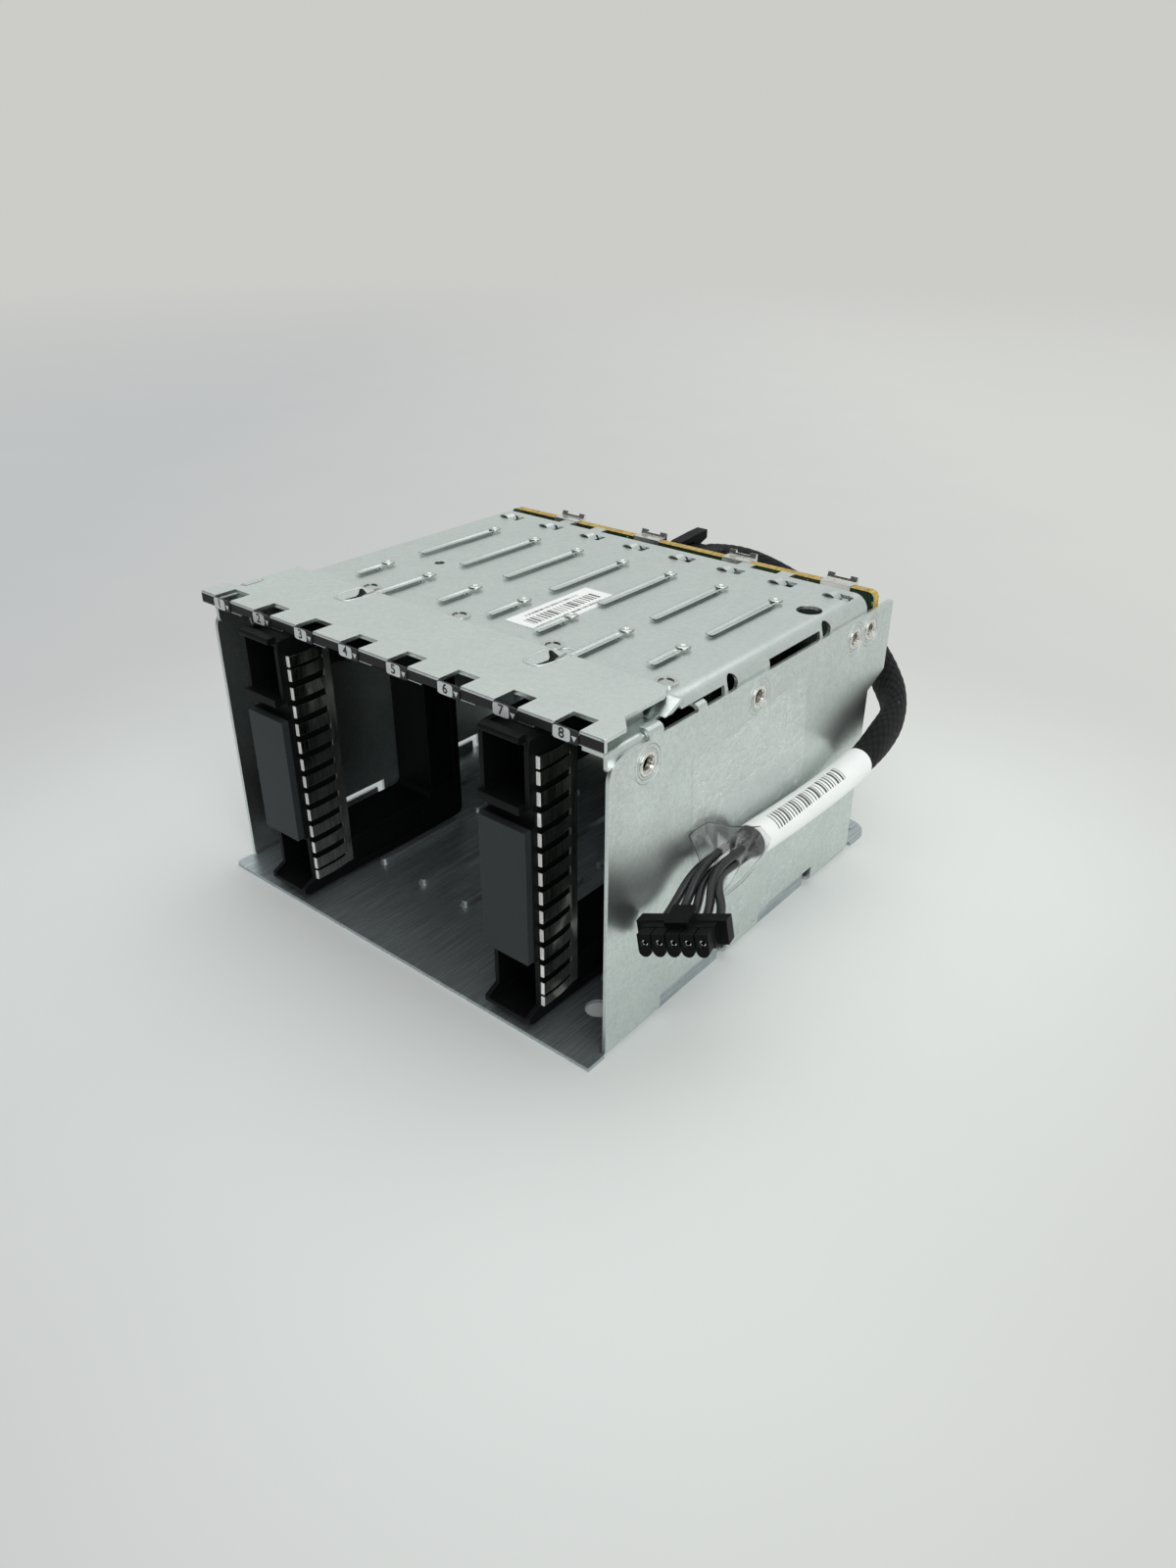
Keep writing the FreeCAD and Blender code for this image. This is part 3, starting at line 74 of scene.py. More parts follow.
def camera():
    """The camera stands in front of the cage's right-hand corner and looks down on it."""
    data = bpy.data.cameras.new("Camera")
    data.lens = CAMERA_LENS
    data.sensor_width = SENSOR
    data.clip_start = 0.01
    data.clip_end = 20.0
    back = CAMERA_RIGHT.cross(CAMERA_UP)
    turn = Matrix((CAMERA_RIGHT, CAMERA_UP, back)).transposed()
    holder = show("Camera", data)
    holder.matrix_world = Matrix.Translation(CAMERA_PLACE) @ turn.to_4x4()
    bpy.context.scene.camera = holder


camera()


# ---------------------------------------------------------------- nodes of a material
def linear(red, green, blue):
    """An 8 bit screen colour as the linear colour that a shader takes."""
    parts = []
    for level in (red, green, blue):
        level = level / 255
        parts.append(level / 12.92 if level <= 0.04045 else ((level + 0.055) / 1.055) ** 2.4)
    return (*parts, 1.0)


def plug(tree, source, socket):
    """Links another node's output to a socket, or sets the socket to a plain level."""
    if isinstance(source, bpy.types.NodeSocket):
        tree.links.new(source, socket)
    else:
        socket.default_value = source


def node(tree, kind, inputs=None, **settings):
    """A shader node; each input takes another node's output, or a plain level."""
    made = tree.nodes.new("ShaderNode" + kind)
    for name, setting in settings.items():
        setattr(made, name, setting)
    for name, source in (inputs or {}).items():
        plug(tree, source, made.inputs[name])
    return made


def work(tree, operation, *levels):
    """The output of a Math node over one, two or three levels."""
    return node(tree, "Math", dict(enumerate(levels)), operation=operation).outputs[0]


def spread(tree, level, low, high, to_low=0.0, to_high=1.0, kind="LINEAR"):
    """A level between low and high carried to the range between to_low and to_high, and held there."""
    inputs = {"Value": level, "From Min": low, "From Max": high, "To Min": to_low, "To Max": to_high}
    return node(tree, "MapRange", inputs, interpolation_type=kind).outputs["Result"]


def blend(tree, share, first, second):
    """The colour that is first where share is 0 and second where it is 1."""
    return node(tree, "Mix", {0: share, 6: first, 7: second}, data_type="RGBA").outputs[2]


def group(name, takes, gives):
    """An empty node group with named inputs and outputs."""
    made = bpy.data.node_groups.new(name, "ShaderNodeTree")
    for label, level in takes:
        socket = made.interface.new_socket(label, in_out="INPUT", socket_type="NodeSocketFloat")
        socket.default_value = level
    for label, kind in gives:
        made.interface.new_socket(label, in_out="OUTPUT", socket_type="NodeSocket" + kind)
    return made, made.nodes.new("NodeGroupInput").outputs, made.nodes.new("NodeGroupOutput").inputs


def place(tree, shared, **levels):
    """A node group in a material, with this material's own levels."""
    made = tree.nodes.new("ShaderNodeGroup")
    made.node_tree = shared
    for name, level in levels.items():
        plug(tree, level, made.inputs[name.capitalize()])
    return made.outputs


def axes_of(tree, output="Object"):
    """The X, Y and Z of a point of the piece in metres, or of another output of Texture Coordinate."""
    return node(tree, "SeparateXYZ", {0: node(tree, "TexCoord").outputs[output]}).outputs


def object_spot(tree, stretch=(1, 1, 1)):
    """A point of the piece in millimetres, stretched along each axis."""
    spot = node(tree, "TexCoord").outputs["Object"]
    scale = [1 / MM * share for share in stretch]
    return node(tree, "Mapping", {"Vector": spot, "Scale": scale}).outputs["Vector"]


def noise(tree, spot, size, detail=2.0, rough=0.5):
    """Noise whose lumps are about size millimetres across."""
    inputs = {"Vector": spot, "Scale": 1 / size, "Detail": detail, "Roughness": rough}
    return node(tree, "TexNoise", inputs).outputs["Fac"]


def soft_edges():
    """Rounded edges: the normal with its edges rounded off, and a mask that is 1 along them, for edge wear
    and painted edge highlights.
    """
    tree, takes, gives = group("edge wear and highlight", [("Width", 0.2)], [("Normal", "Vector"), ("Edge", "Float")])
    width = work(tree, "MULTIPLY", takes["Width"], MM)
    rounded = node(tree, "Bevel", {"Radius": width}, samples=4).outputs["Normal"]
    flat = node(tree, "NewGeometry").outputs["Normal"]
    inputs = {0: rounded, 1: flat}
    turn = node(tree, "VectorMath", inputs, operation="DOT_PRODUCT").outputs["Value"]
    tree.links.new(rounded, gives["Normal"])
    tree.links.new(spread(tree, turn, 0.985, 0.8), gives["Edge"])
    return tree


def fine_grain():
    """Fine grain: a tone from 0 to 1 with lumps of one size, broken by a coarser cloud."""
    takes = [("Size", 0.3), ("Cloud", 8.0), ("Share", 0.35)]
    tree, takes, gives = group("fine grain", takes, [("Tone", "Float"), ("Fleck", "Float")])
    spot = object_spot(tree)
    fine = node(tree, "TexNoise", {"Vector": spot, "Scale": work(tree, "DIVIDE", 1.0, takes["Size"]),
                                   "Detail": 2.0}).outputs["Fac"]
    cloud = node(tree, "TexNoise", {"Vector": spot, "Scale": work(tree, "DIVIDE", 1.0, takes["Cloud"]),
                                    "Detail": 3.0}).outputs["Fac"]
    keep = work(tree, "SUBTRACT", 1.0, takes["Share"])
    tone = work(tree, "ADD", work(tree, "MULTIPLY", fine, keep),
                work(tree, "MULTIPLY", cloud, takes["Share"]))
    tree.links.new(spread(tree, tone, 0.32, 0.68), gives["Tone"])
    tree.links.new(spread(tree, fine, 0.35, 0.65), gives["Fleck"])
    return tree


def spangle():
    """The zinc's crystals: each patch of the coat has a tone of its own."""
    tree, takes, gives = group("spangle", [("Size", 1.2)], [("Tone", "Float")])
    spot = object_spot(tree)
    scale = work(tree, "DIVIDE", 1.0, takes["Size"])
    cells = node(tree, "TexVoronoi", {"Vector": spot, "Scale": scale}, feature="SMOOTH_F1")
    apart = node(tree, "SeparateColor", {"Color": cells.outputs["Color"]}).outputs["Red"]
    tree.links.new(apart, gives["Tone"])
    return tree


def scratches():
    """Fine lines along one axis of the piece, as rolling or sliding leaves them."""
    takes = [("X", 1.0), ("Y", 1.0), ("Z", 1.0), ("Size", 0.4)]
    tree, takes, gives = group("scratches", takes, [("Line", "Float")])
    spot = node(tree, "TexCoord").outputs["Object"]
    axes = node(tree, "CombineXYZ", {name: takes[name] for name in "XYZ"}).outputs[0]
    drawn = node(tree, "VectorMath", {0: spot, 1: axes}, operation="MULTIPLY").outputs[0]
    fine = work(tree, "DIVIDE", 1 / MM, takes["Size"])
    line = node(tree, "TexNoise", {"Vector": drawn, "Scale": fine, "Detail": 3.0}).outputs["Fac"]
    tree.links.new(spread(tree, line, 0.35, 0.65), gives["Line"])
    return tree


def corner_shade():
    """Painted shade: 1 in the open and lower in grooves and corners, where less light comes."""
    tree, takes, gives = group("corner shade", [("Reach", 3.0)], [("Open", "Float")])
    reach = work(tree, "MULTIPLY", takes["Reach"], MM)
    near = node(tree, "AmbientOcclusion", {"Distance": reach}, samples=6, only_local=True).outputs["AO"]
    tree.links.new(spread(tree, near, 0.35, 0.95), gives["Open"])
    return tree


EDGES = soft_edges()
CORNERS = corner_shade()
GRAIN = fine_grain()
SPANGLE = spangle()
SCRATCHES = scratches()


def start(name):
    """A new material; gives it with its tree and its shader."""
    made = bpy.data.materials.new(name)
    made.use_nodes = True
    return made, made.node_tree, made.node_tree.nodes["Principled BSDF"]


def raise_by(tree, shader, height, depth, normal=None):
    """Height from 0 to 1 raises the surface by depth millimetres."""
    inputs = {"Height": height, "Distance": depth * MM, "Strength": 1.0}
    if normal is not None:
        inputs["Normal"] = normal
    bump = node(tree, "Bump", inputs)
    tree.links.new(bump.outputs["Normal"], shader.inputs["Normal"])


def feed(tree, shader, **sources):
    """Links or sets the shader's inputs by name."""
    for name, source in sources.items():
        plug(tree, source, shader.inputs[name.replace("_", " ")])


# ---------------------------------------------------------------- finishes
def zinc_coat(name, dull, bright, rolled=0.0, printed=False, metal=1.0):
    """Zinc coated sheet: faint crystals and fine grain, painted shade in grooves and corners, edges paler
    from wear and a painted highlight; rolled adds lines along Y.
    """
    made, tree, shader = start(name)
    edge = place(tree, EDGES, width=0.25)
    grain = place(tree, GRAIN, size=0.32, cloud=9.0, share=0.3)
    crystals = place(tree, SPANGLE, size=0.9)
    tone = work(tree, "ADD", work(tree, "MULTIPLY", grain["Tone"], 0.65),
                work(tree, "MULTIPLY", crystals["Tone"], 0.35))
    colour = blend(tree, tone, linear(*dull), linear(*bright))
    rough = spread(tree, tone, 0.0, 1.0, 0.42, 0.26)
    height = grain["Fleck"]
    if rolled:
        lines = place(tree, SCRATCHES, x=1.0, y=0.03, z=1.0, size=0.5)["Line"]
        colour = blend(tree, work(tree, "MULTIPLY", lines, rolled), colour, linear(112, 122, 129))
        height = work(tree, "ADD", height, lines)
    # Painted shade: the coat turns grey in grooves and corners.
    shade = place(tree, CORNERS, reach=2.0)["Open"]
    colour = blend(tree, shade, linear(128, 135, 135), colour)
    # Paler edges: partly wear, partly a painted highlight.
    wear_and_highlight = work(tree, "MULTIPLY", edge["Edge"], 0.55)
    colour = blend(tree, wear_and_highlight, colour, linear(246, 249, 247))
    if printed:
        band = lip_print(tree)
        dark_tone = blend(tree, grain["Tone"], linear(4, 4, 5), linear(14, 15, 15))
        colour = blend(tree, band, colour, dark_tone)
        rough = work(tree, "ADD", work(tree, "MULTIPLY", rough, work(tree, "SUBTRACT", 1.0, band)),
                     work(tree, "MULTIPLY", band, 0.62))
        metal = work(tree, "SUBTRACT", 1.0, band)
    feed(tree, shader, Base_Color=colour, Metallic=metal, Roughness=rough)
    raise_by(tree, shader, height, 0.007, edge["Normal"])
    return made


def lip_print(tree):
    """1 on the black print along the front face of the cover's lip, and in its windows' mouths."""
    low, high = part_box("front_cover_plate")
    spot = axes_of(tree)
    front = work(tree, "LESS_THAN", spot["Y"], low.y + 0.35 * MM)
    forward = spread(tree, axes_of(tree, "Normal")["Y"], -0.72, -0.86)
    above = spread(tree, spot["Z"], low.z + 0.12 * MM, low.z + 0.2 * MM)
    below = spread(tree, spot["Z"], high.z - 0.52 * MM, high.z - 0.64 * MM)
    mask = work(tree, "MULTIPLY", front, forward)
    return work(tree, "MULTIPLY", mask, work(tree, "MULTIPLY", above, below))


def bright_metal(name, dull, bright, rough, lines=(1.0, 1.0, 1.0), tarnish=None, dark_tone=None, hem=None):
    """Plated or rolled metal: lines drawn along one axis, a little tarnish in clouds, edges paler from wear
    and a painted highlight.

    Dark tone is the painted shade of its corners; in front of hem, a depth in metres, the metal is painted
    pale and less metallic as a highlight.
    """
    made, tree, shader = start(name)
    edge = place(tree, EDGES, width=0.12)
    line = place(tree, SCRATCHES, x=lines[0], y=lines[1], z=lines[2], size=0.35)["Line"]
    colour = blend(tree, line, linear(*dull), linear(*bright))
    if tarnish:
        cloud = spread(tree, noise(tree, object_spot(tree), 1.6, 3.0), 0.42, 0.7)
        colour = blend(tree, work(tree, "MULTIPLY", cloud, 0.6), colour, linear(*tarnish))
    # Painted shade: the corners take the dark tone.
    if dark_tone:
        colour = blend(tree, place(tree, CORNERS, reach=1.6)["Open"], linear(*dark_tone), colour)
    # Paler edges: partly wear, partly a painted highlight.
    colour = blend(tree, work(tree, "MULTIPLY", edge["Edge"], 0.5), colour, linear(250, 250, 248))
    metal = 1.0
    # Painted highlight: a pale, less metallic band in front of the hem.
    if hem is not None:
        rim = spread(tree, axes_of(tree)["Y"], hem + 0.1 * MM, hem - 0.1 * MM)
        colour = blend(tree, rim, colour, linear(252, 252, 248))
        metal = work(tree, "SUBTRACT", 1.0, work(tree, "MULTIPLY", rim, 0.75))
    feed(tree, shader, Base_Color=colour, Metallic=metal,
         Roughness=spread(tree, line, 0.0, 1.0, rough - 0.05, rough + 0.06))
    raise_by(tree, shader, line, 0.002, edge["Normal"])
    return made


def moulded(name, dark, light, rough, grain_size=0.22, wear_and_highlight=(58, 61, 63), gloss=0.12):
    """Moulded plastic: a fine spark-eroded grain, a slightly polished cloud and paler edges, partly rubbed
    and partly a painted highlight.
    """
    made, tree, shader = start(name)
    edge = place(tree, EDGES, width=0.18)
    grain = place(tree, GRAIN, size=grain_size, cloud=6.0, share=0.25)
    colour = blend(tree, grain["Tone"], linear(*dark), linear(*light))
    # Paler edges: partly rubbing, partly a painted highlight.
    colour = blend(tree, work(tree, "MULTIPLY", edge["Edge"], 0.4), colour, linear(*wear_and_highlight))
    rough = spread(tree, grain["Tone"], 0.0, 1.0, rough - 0.06, rough + 0.1)
    feed(tree, shader, Base_Color=colour, Roughness=rough, Specular_IOR_Level=gloss)
    raise_by(tree, shader, grain["Fleck"], 0.008, edge["Normal"])
    return made


def board_finish():
    """Circuit board: green mask over faint tracks and tinned vias, bare tan laminate at its edges."""
    made, tree, shader = start("circuit board")
    facing = axes_of(tree, "Normal")["Y"]
    face = work(tree, "GREATER_THAN", work(tree, "ABSOLUTE", facing), 0.5)
    spot = object_spot(tree)
    bent = node(tree, "TexVoronoi", {"Vector": spot, "Scale": 0.16},
                feature="DISTANCE_TO_EDGE", distance="MINKOWSKI")
    tracks = work(tree, "SINE", work(tree, "MULTIPLY", bent.outputs["Distance"], 55.0))
    tracks = spread(tree, tracks, 0.1, 0.5)
    dots = node(tree, "TexVoronoi", {"Vector": spot, "Scale": 0.3}).outputs["Distance"]
    via = work(tree, "LESS_THAN", dots, 0.1)
    green = blend(tree, tracks, linear(12, 44, 30), linear(24, 66, 44))
    green = blend(tree, via, green, linear(176, 172, 150))
    fibre = place(tree, SCRATCHES, x=1.0, y=0.2, z=1.0, size=0.5)["Line"]
    tan = blend(tree, fibre, linear(150, 122, 52), linear(206, 178, 92))
    feed(tree, shader, Base_Color=blend(tree, face, tan, green),
         Roughness=spread(tree, face, 0.0, 1.0, 0.7, 0.32))
    raise_by(tree, shader, work(tree, "MULTIPLY", tracks, face), 0.01)
    return made


def braid_finish():
    """Black braided yarn: dark fibres with a painted highlight of paler grey on the crowns of the strands.
    """
    made, tree, shader = start("braided sleeve")
    grain = place(tree, GRAIN, size=0.16, cloud=5.0, share=0.25)
    crown = node(tree, "Attribute", attribute_name="crown").outputs["Fac"]
    # Painted highlight: paler grey on the crowns of the strands.
    share = work(tree, "MULTIPLY", spread(tree, crown, 0.55, 1.0), grain["Tone"])
    colour = blend(tree, share, linear(4, 4, 5), linear(36, 37, 39))
    lint = spread(tree, noise(tree, object_spot(tree), 2.4, 3.0, 0.7), 0.66, 0.74)
    colour = blend(tree, work(tree, "MULTIPLY", lint, 0.5), colour, linear(128, 130, 132))
    feed(tree, shader, Base_Color=colour, Roughness=spread(tree, grain["Tone"], 0.0, 1.0, 0.62, 0.85),
         Sheen_Weight=0.03, Sheen_Roughness=0.5, Specular_IOR_Level=0.25)
    raise_by(tree, shader, grain["Fleck"], 0.04)
    return made


def between(tree, level, low, high):
    """1 where a level lies between low and high, and 0 elsewhere."""
    above = work(tree, "GREATER_THAN", level, low)
    return work(tree, "MULTIPLY", above, work(tree, "LESS_THAN", level, high))


def bars(tree, reach, low, high, step):
    """One upright bar of random width in every cell between low and high along one axis, in millimetres."""
    cells = work(tree, "DIVIDE", reach, step)
    cell = work(tree, "FLOOR", cells)
    draw = node(tree, "TexWhiteNoise", {"W": cell}, noise_dimensions="1D").outputs["Value"]
    wide = spread(tree, draw, 0.0, 1.0, 0.2, 0.8)
    bar = work(tree, "LESS_THAN", work(tree, "SUBTRACT", cells, cell), wide)
    return work(tree, "MULTIPLY", bar, between(tree, reach, low, high))


WRAP_ROW = (57.0, 91.5, 1.25)
WRAP_TURN = (0.55, 1.75)
LABEL_ROWS = (
    (8.9, 12.9, 39.5, 66.0, 1.3),
    (6.7, 7.7, 42.0, 63.0, 0.62),
    (14.2, 15.2, 38.5, 64.5, 0.7),
)


def paper(name, wrapped):
    """Label paper with plain rows of bars and no words; wrapped puts one row on the top of the lead."""
    made, tree, shader = start(name)
    grain = place(tree, GRAIN, size=0.2, cloud=12.0, share=0.5)
    spot = node(tree, "SeparateXYZ", {0: object_spot(tree)}).outputs
    if wrapped:
        low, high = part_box("lead_label")
        middle = (low + high) / 2 / MM
        angle = work(tree, "ARCTAN2", work(tree, "SUBTRACT", spot["Z"], middle.z),
                     work(tree, "SUBTRACT", spot["X"], middle.x))
        bar = work(tree, "MULTIPLY", bars(tree, spot["Y"], *WRAP_ROW), between(tree, angle, *WRAP_TURN))
    else:
        bar = 0.0
        for left, right, front, back, step in LABEL_ROWS:
            row = work(tree, "MULTIPLY", between(tree, spot["X"], left, right),
                       bars(tree, spot["Y"], front, back, step))
            bar = work(tree, "MAXIMUM", bar, row)
    bar = work(tree, "MULTIPLY", bar, spread(tree, grain["Fleck"], 0.0, 0.6, 0.75, 1.0))
    white = blend(tree, grain["Tone"], linear(238, 240, 239), linear(251, 252, 251))
    feed(tree, shader, Base_Color=blend(tree, bar, white, linear(20, 21, 23)), Roughness=0.55)
    raise_by(tree, shader, grain["Fleck"], 0.003)
    return made


FILM_STRETCH = (1.0, 0.5, 1.3)


def tape_finish():
    """Clear tape: mostly see-through, whiter and less clear along its creases."""
    made, tree, shader = start("clear tape")
    fold = noise(tree, object_spot(tree, FILM_STRETCH), 9.0, 4.0, 0.6)
    ridge = work(tree, "ABSOLUTE", work(tree, "SUBTRACT", fold, 0.5))
    alpha = work(tree, "ADD", 0.07, work(tree, "MULTIPLY", spread(tree, ridge, 0.022, 0.0), 0.2))
    feed(tree, shader, Base_Color=linear(236, 240, 239), Roughness=0.2, Alpha=alpha)
    raise_by(tree, shader, fold, 0.012)
    return made


def fold_finish():
    """The loose folded end of the film: truly clear, with fine creases that catch the light."""
    made, tree, shader = start("folded film")
    fold = noise(tree, object_spot(tree, FILM_STRETCH), 0.5, 4.0, 0.6)
    feed(tree, shader, Base_Color=linear(250, 252, 251), Roughness=0.09, IOR=1.5, Transmission_Weight=1.0)
    raise_by(tree, shader, fold, 0.05)
    return made


def wire_finish():
    """Black wire jacket: satin, with a faint mottle."""
    made, tree, shader = start("wire jacket")
    grain = place(tree, GRAIN, size=0.5, cloud=4.0, share=0.4)
    colour = blend(tree, grain["Tone"], linear(16, 17, 19), linear(30, 32, 34))
    feed(tree, shader, Base_Color=colour, Roughness=spread(tree, grain["Tone"], 0.0, 1.0, 0.3, 0.42))
    raise_by(tree, shader, grain["Tone"], 0.02)
    return made


def ink(name, dark, light):
    """Screen printing ink: near even, with a fine mottle and a slightly uneven coat."""
    made, tree, shader = start(name)
    grain = place(tree, GRAIN, size=0.15, cloud=3.0, share=0.4)
    colour = blend(tree, grain["Tone"], linear(*dark), linear(*light))
    feed(tree, shader, Base_Color=colour, Roughness=0.5)
    raise_by(tree, shader, grain["Fleck"], 0.002)
    return made


ZINC = zinc_coat("zinc coated sheet", (196, 204, 202), (229, 236, 233))
BLACK = moulded("black moulding", (5, 6, 7), (12, 13, 14), 0.5)
FINISHES = {
    "galvanised": ZINC,
    "plated_steel": bright_metal("nickel plate", (214, 213, 208), (246, 245, 240), 0.17, (0.15, 1.0, 1.0)),
    "circuit_board": board_finish(),
    "black_plastic": BLACK,
    "charcoal_plastic": moulded("charcoal moulding", (33, 37, 39), (47, 52, 54), 0.5, 0.3,
                                (84, 88, 90), 0.3),
    # The hem depth sets a painted highlight along the fingers' front edges.
    "spring_steel": bright_metal("spring strip", (176, 175, 166), (232, 231, 224), 0.17, (1.0, 1.0, 0.04),
                                 hem=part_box("blank_7_finger_strip")[0].y + 0.32 * MM),
    "contact_metal": bright_metal("tinned contact", (196, 190, 178), (232, 228, 218), 0.25,
                                  (1.0, 0.1, 1.0)),
    "label_paper": paper("label paper", False),
    "clear_film": tape_finish(),
}
NODE_FINISHES = {
    "base_tray": zinc_coat("zinc coated base", (176, 186, 190), (212, 220, 222), rolled=0.5, metal=0.82),
    "front_cover_plate": zinc_coat("zinc coated cover", (202, 209, 207), (233, 240, 237), printed=True),
    # Painted shade: a near-black tone in the hollows of the buttons and groove ends.
    "cover_clinch_buttons": bright_metal("pressed buttons", (190, 194, 192), (236, 240, 237), 0.16,
                                         dark_tone=(22, 24, 24)),
    "lead_plug_contacts": bright_metal("plug contacts", (236, 234, 228), (252, 251, 247), 0.12),
    "lead_label": paper("lead label paper", True),
}
SLOTS = {entry["node"]: entry["material_slot"] for entry in frame["record"]["subparts"]}
for name, piece in frame["nodes"].items():
    finish = NODE_FINISHES.get(name) or FINISHES.get(SLOTS[name])
    if finish is None:
        continue
    for socket in piece.material_slots:
        socket.material = finish


# ---------------------------------------------------------------- making a piece
def grid(rows, columns, round_rows=False, round_columns=False):
    """Four-sided faces between neighbouring rows and columns of points; a round way joins last to first."""
    i = np.arange(rows if round_rows else rows - 1)[:, None]
    j = np.arange(columns if round_columns else columns - 1)[None, :]
    after = (i + 1) % rows
    beside = (j + 1) % columns
    corners = [i * columns + j, i * columns + beside, after * columns + beside, after * columns + j]
    return np.stack(np.broadcast_arrays(*corners), axis=-1).reshape(-1, 4)


def fan(ring, pole):
    """Three-sided faces that close a ring of points on one more point."""
    return np.stack([np.full(len(ring), pole), ring, np.roll(ring, -1)], 1)


def gather(blocks):
    """Points in metres and arrays of faces, from blocks of points in millimetres with their own faces."""
    points, faces, base = [], [], 0
    for spots, parts in blocks:
        points.append(spots.reshape(-1, 3) * MM)
        faces += [part + base for part in parts]
        base += len(points[-1])
    return np.concatenate(points), faces


def carried(name, data, material):
    """A mesh as a piece that rides on the cage."""
    data.materials.append(material)
    holder = show(name, data)
    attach(holder, "cage")
    return holder


def piece(name, points, faces, material, slot, closed=True, smooth=True):
    """A mesh piece from points in metres and arrays of faces; closed ones face outwards."""
    data = bpy.data.meshes.new(name)
    data.from_pydata(points.tolist(), [], [face for part in faces for face in part.tolist()])
    if closed:
        turned = bmesh.new()
        turned.from_mesh(data)
        bmesh.ops.recalc_face_normals(turned, faces=turned.faces)
        turned.to_mesh(data)
        turned.free()
    data.polygons.foreach_set("use_smooth", [smooth] * len(data.polygons))
    return carried(name, data, material)


def thin_piece(name, blocks, material, slot, thick):
    """Open sheets of points, in millimetres, given a thin wall by Solidify."""
    made = piece(name, *gather(blocks), material, slot, closed=False)
    wall = made.modifiers.new("wall", "SOLIDIFY")
    wall.thickness = thick * MM
    wall.offset = 0.0
    return made


def oval(turn, power):
    """A unit oval's two coordinates at each turn: cosine and sine raised to a power, their signs kept."""
    return [np.sign(part) * np.abs(part) ** power for part in (np.cos(turn), np.sin(turn))]


def along(points, stations):
    """Evenly spaced stations on a line of points: the distances, places, sideways and upward axes."""
    steps = np.linalg.norm(np.diff(points, axis=0), axis=1)
    reached = np.concatenate([[0.0], np.cumsum(steps)])
    way = np.linspace(0.0, reached[-1], stations)
    spots = np.stack([np.interp(way, reached, points[:, axis]) for axis in range(3)], axis=1)
    tangent = np.gradient(spots, axis=0)
    tangent /= np.linalg.norm(tangent, axis=1)[:, None]
    side = np.cross(tangent, [0.0, 0.0, 1.0])
    side /= np.linalg.norm(side, axis=1)[:, None]
    lift = np.cross(side, tangent)
    return way, spots, side, lift


def cord_curve(name, route, radius=0.0):
    """A smooth spline that takes the route, in millimetres, as its control points, with a round section."""
    data = bpy.data.curves.new(name, "CURVE")
    data.dimensions = "3D"
    data.resolution_u = 24
    data.bevel_depth = radius * MM
    data.bevel_resolution = 5
    data.use_fill_caps = radius > 0
    spline = data.splines.new("NURBS")
    spline.points.add(len(route) - 1)
    for point, spot in zip(spline.points, route):
        point.co = (*[number * MM for number in spot], 1.0)
    spline.order_u = 3
    spline.use_endpoint_u = True
    return show(name, data)


def line_of(curve):
    """The points of a curve's own smooth line."""
    mesh = bpy.data.meshes.new_from_object(curve)
    spots = np.array([corner.co for corner in mesh.vertices], float)
    bpy.data.meshes.remove(mesh)
    return spots


# ---------------------------------------------------------------- power lead
LEAD_ROUTE = [
    (1.4, 134.0, 75.1),
    (3.0, 148.2, 72.4),
    (14.8, 157.2, 66.4),
    (32.5, 154.2, 61.4),
    (50.5, 145.6, 57.6),
    (62.8, 138.6, 51.8),
    (74.0, 128.5, 44.7),
    (75.2, 111.4, 39.6),
    (73.9, 93.0, 36.6),
    (73.4, 71.0, 36.6),
    (73.2, 49.0, 37.8),
]
LEAD_RADIUS = 4.1
STRANDS = 22
LAY = 34.0
BRAID_RELIEF = 0.26
BRAID_END = 1.2
BULGE = (48.0, 86.0, 110.0, 122.0)
BULGE_NARROW, BULGE_TALL, BULGE_RISE = 0.1, 0.6, 0.1


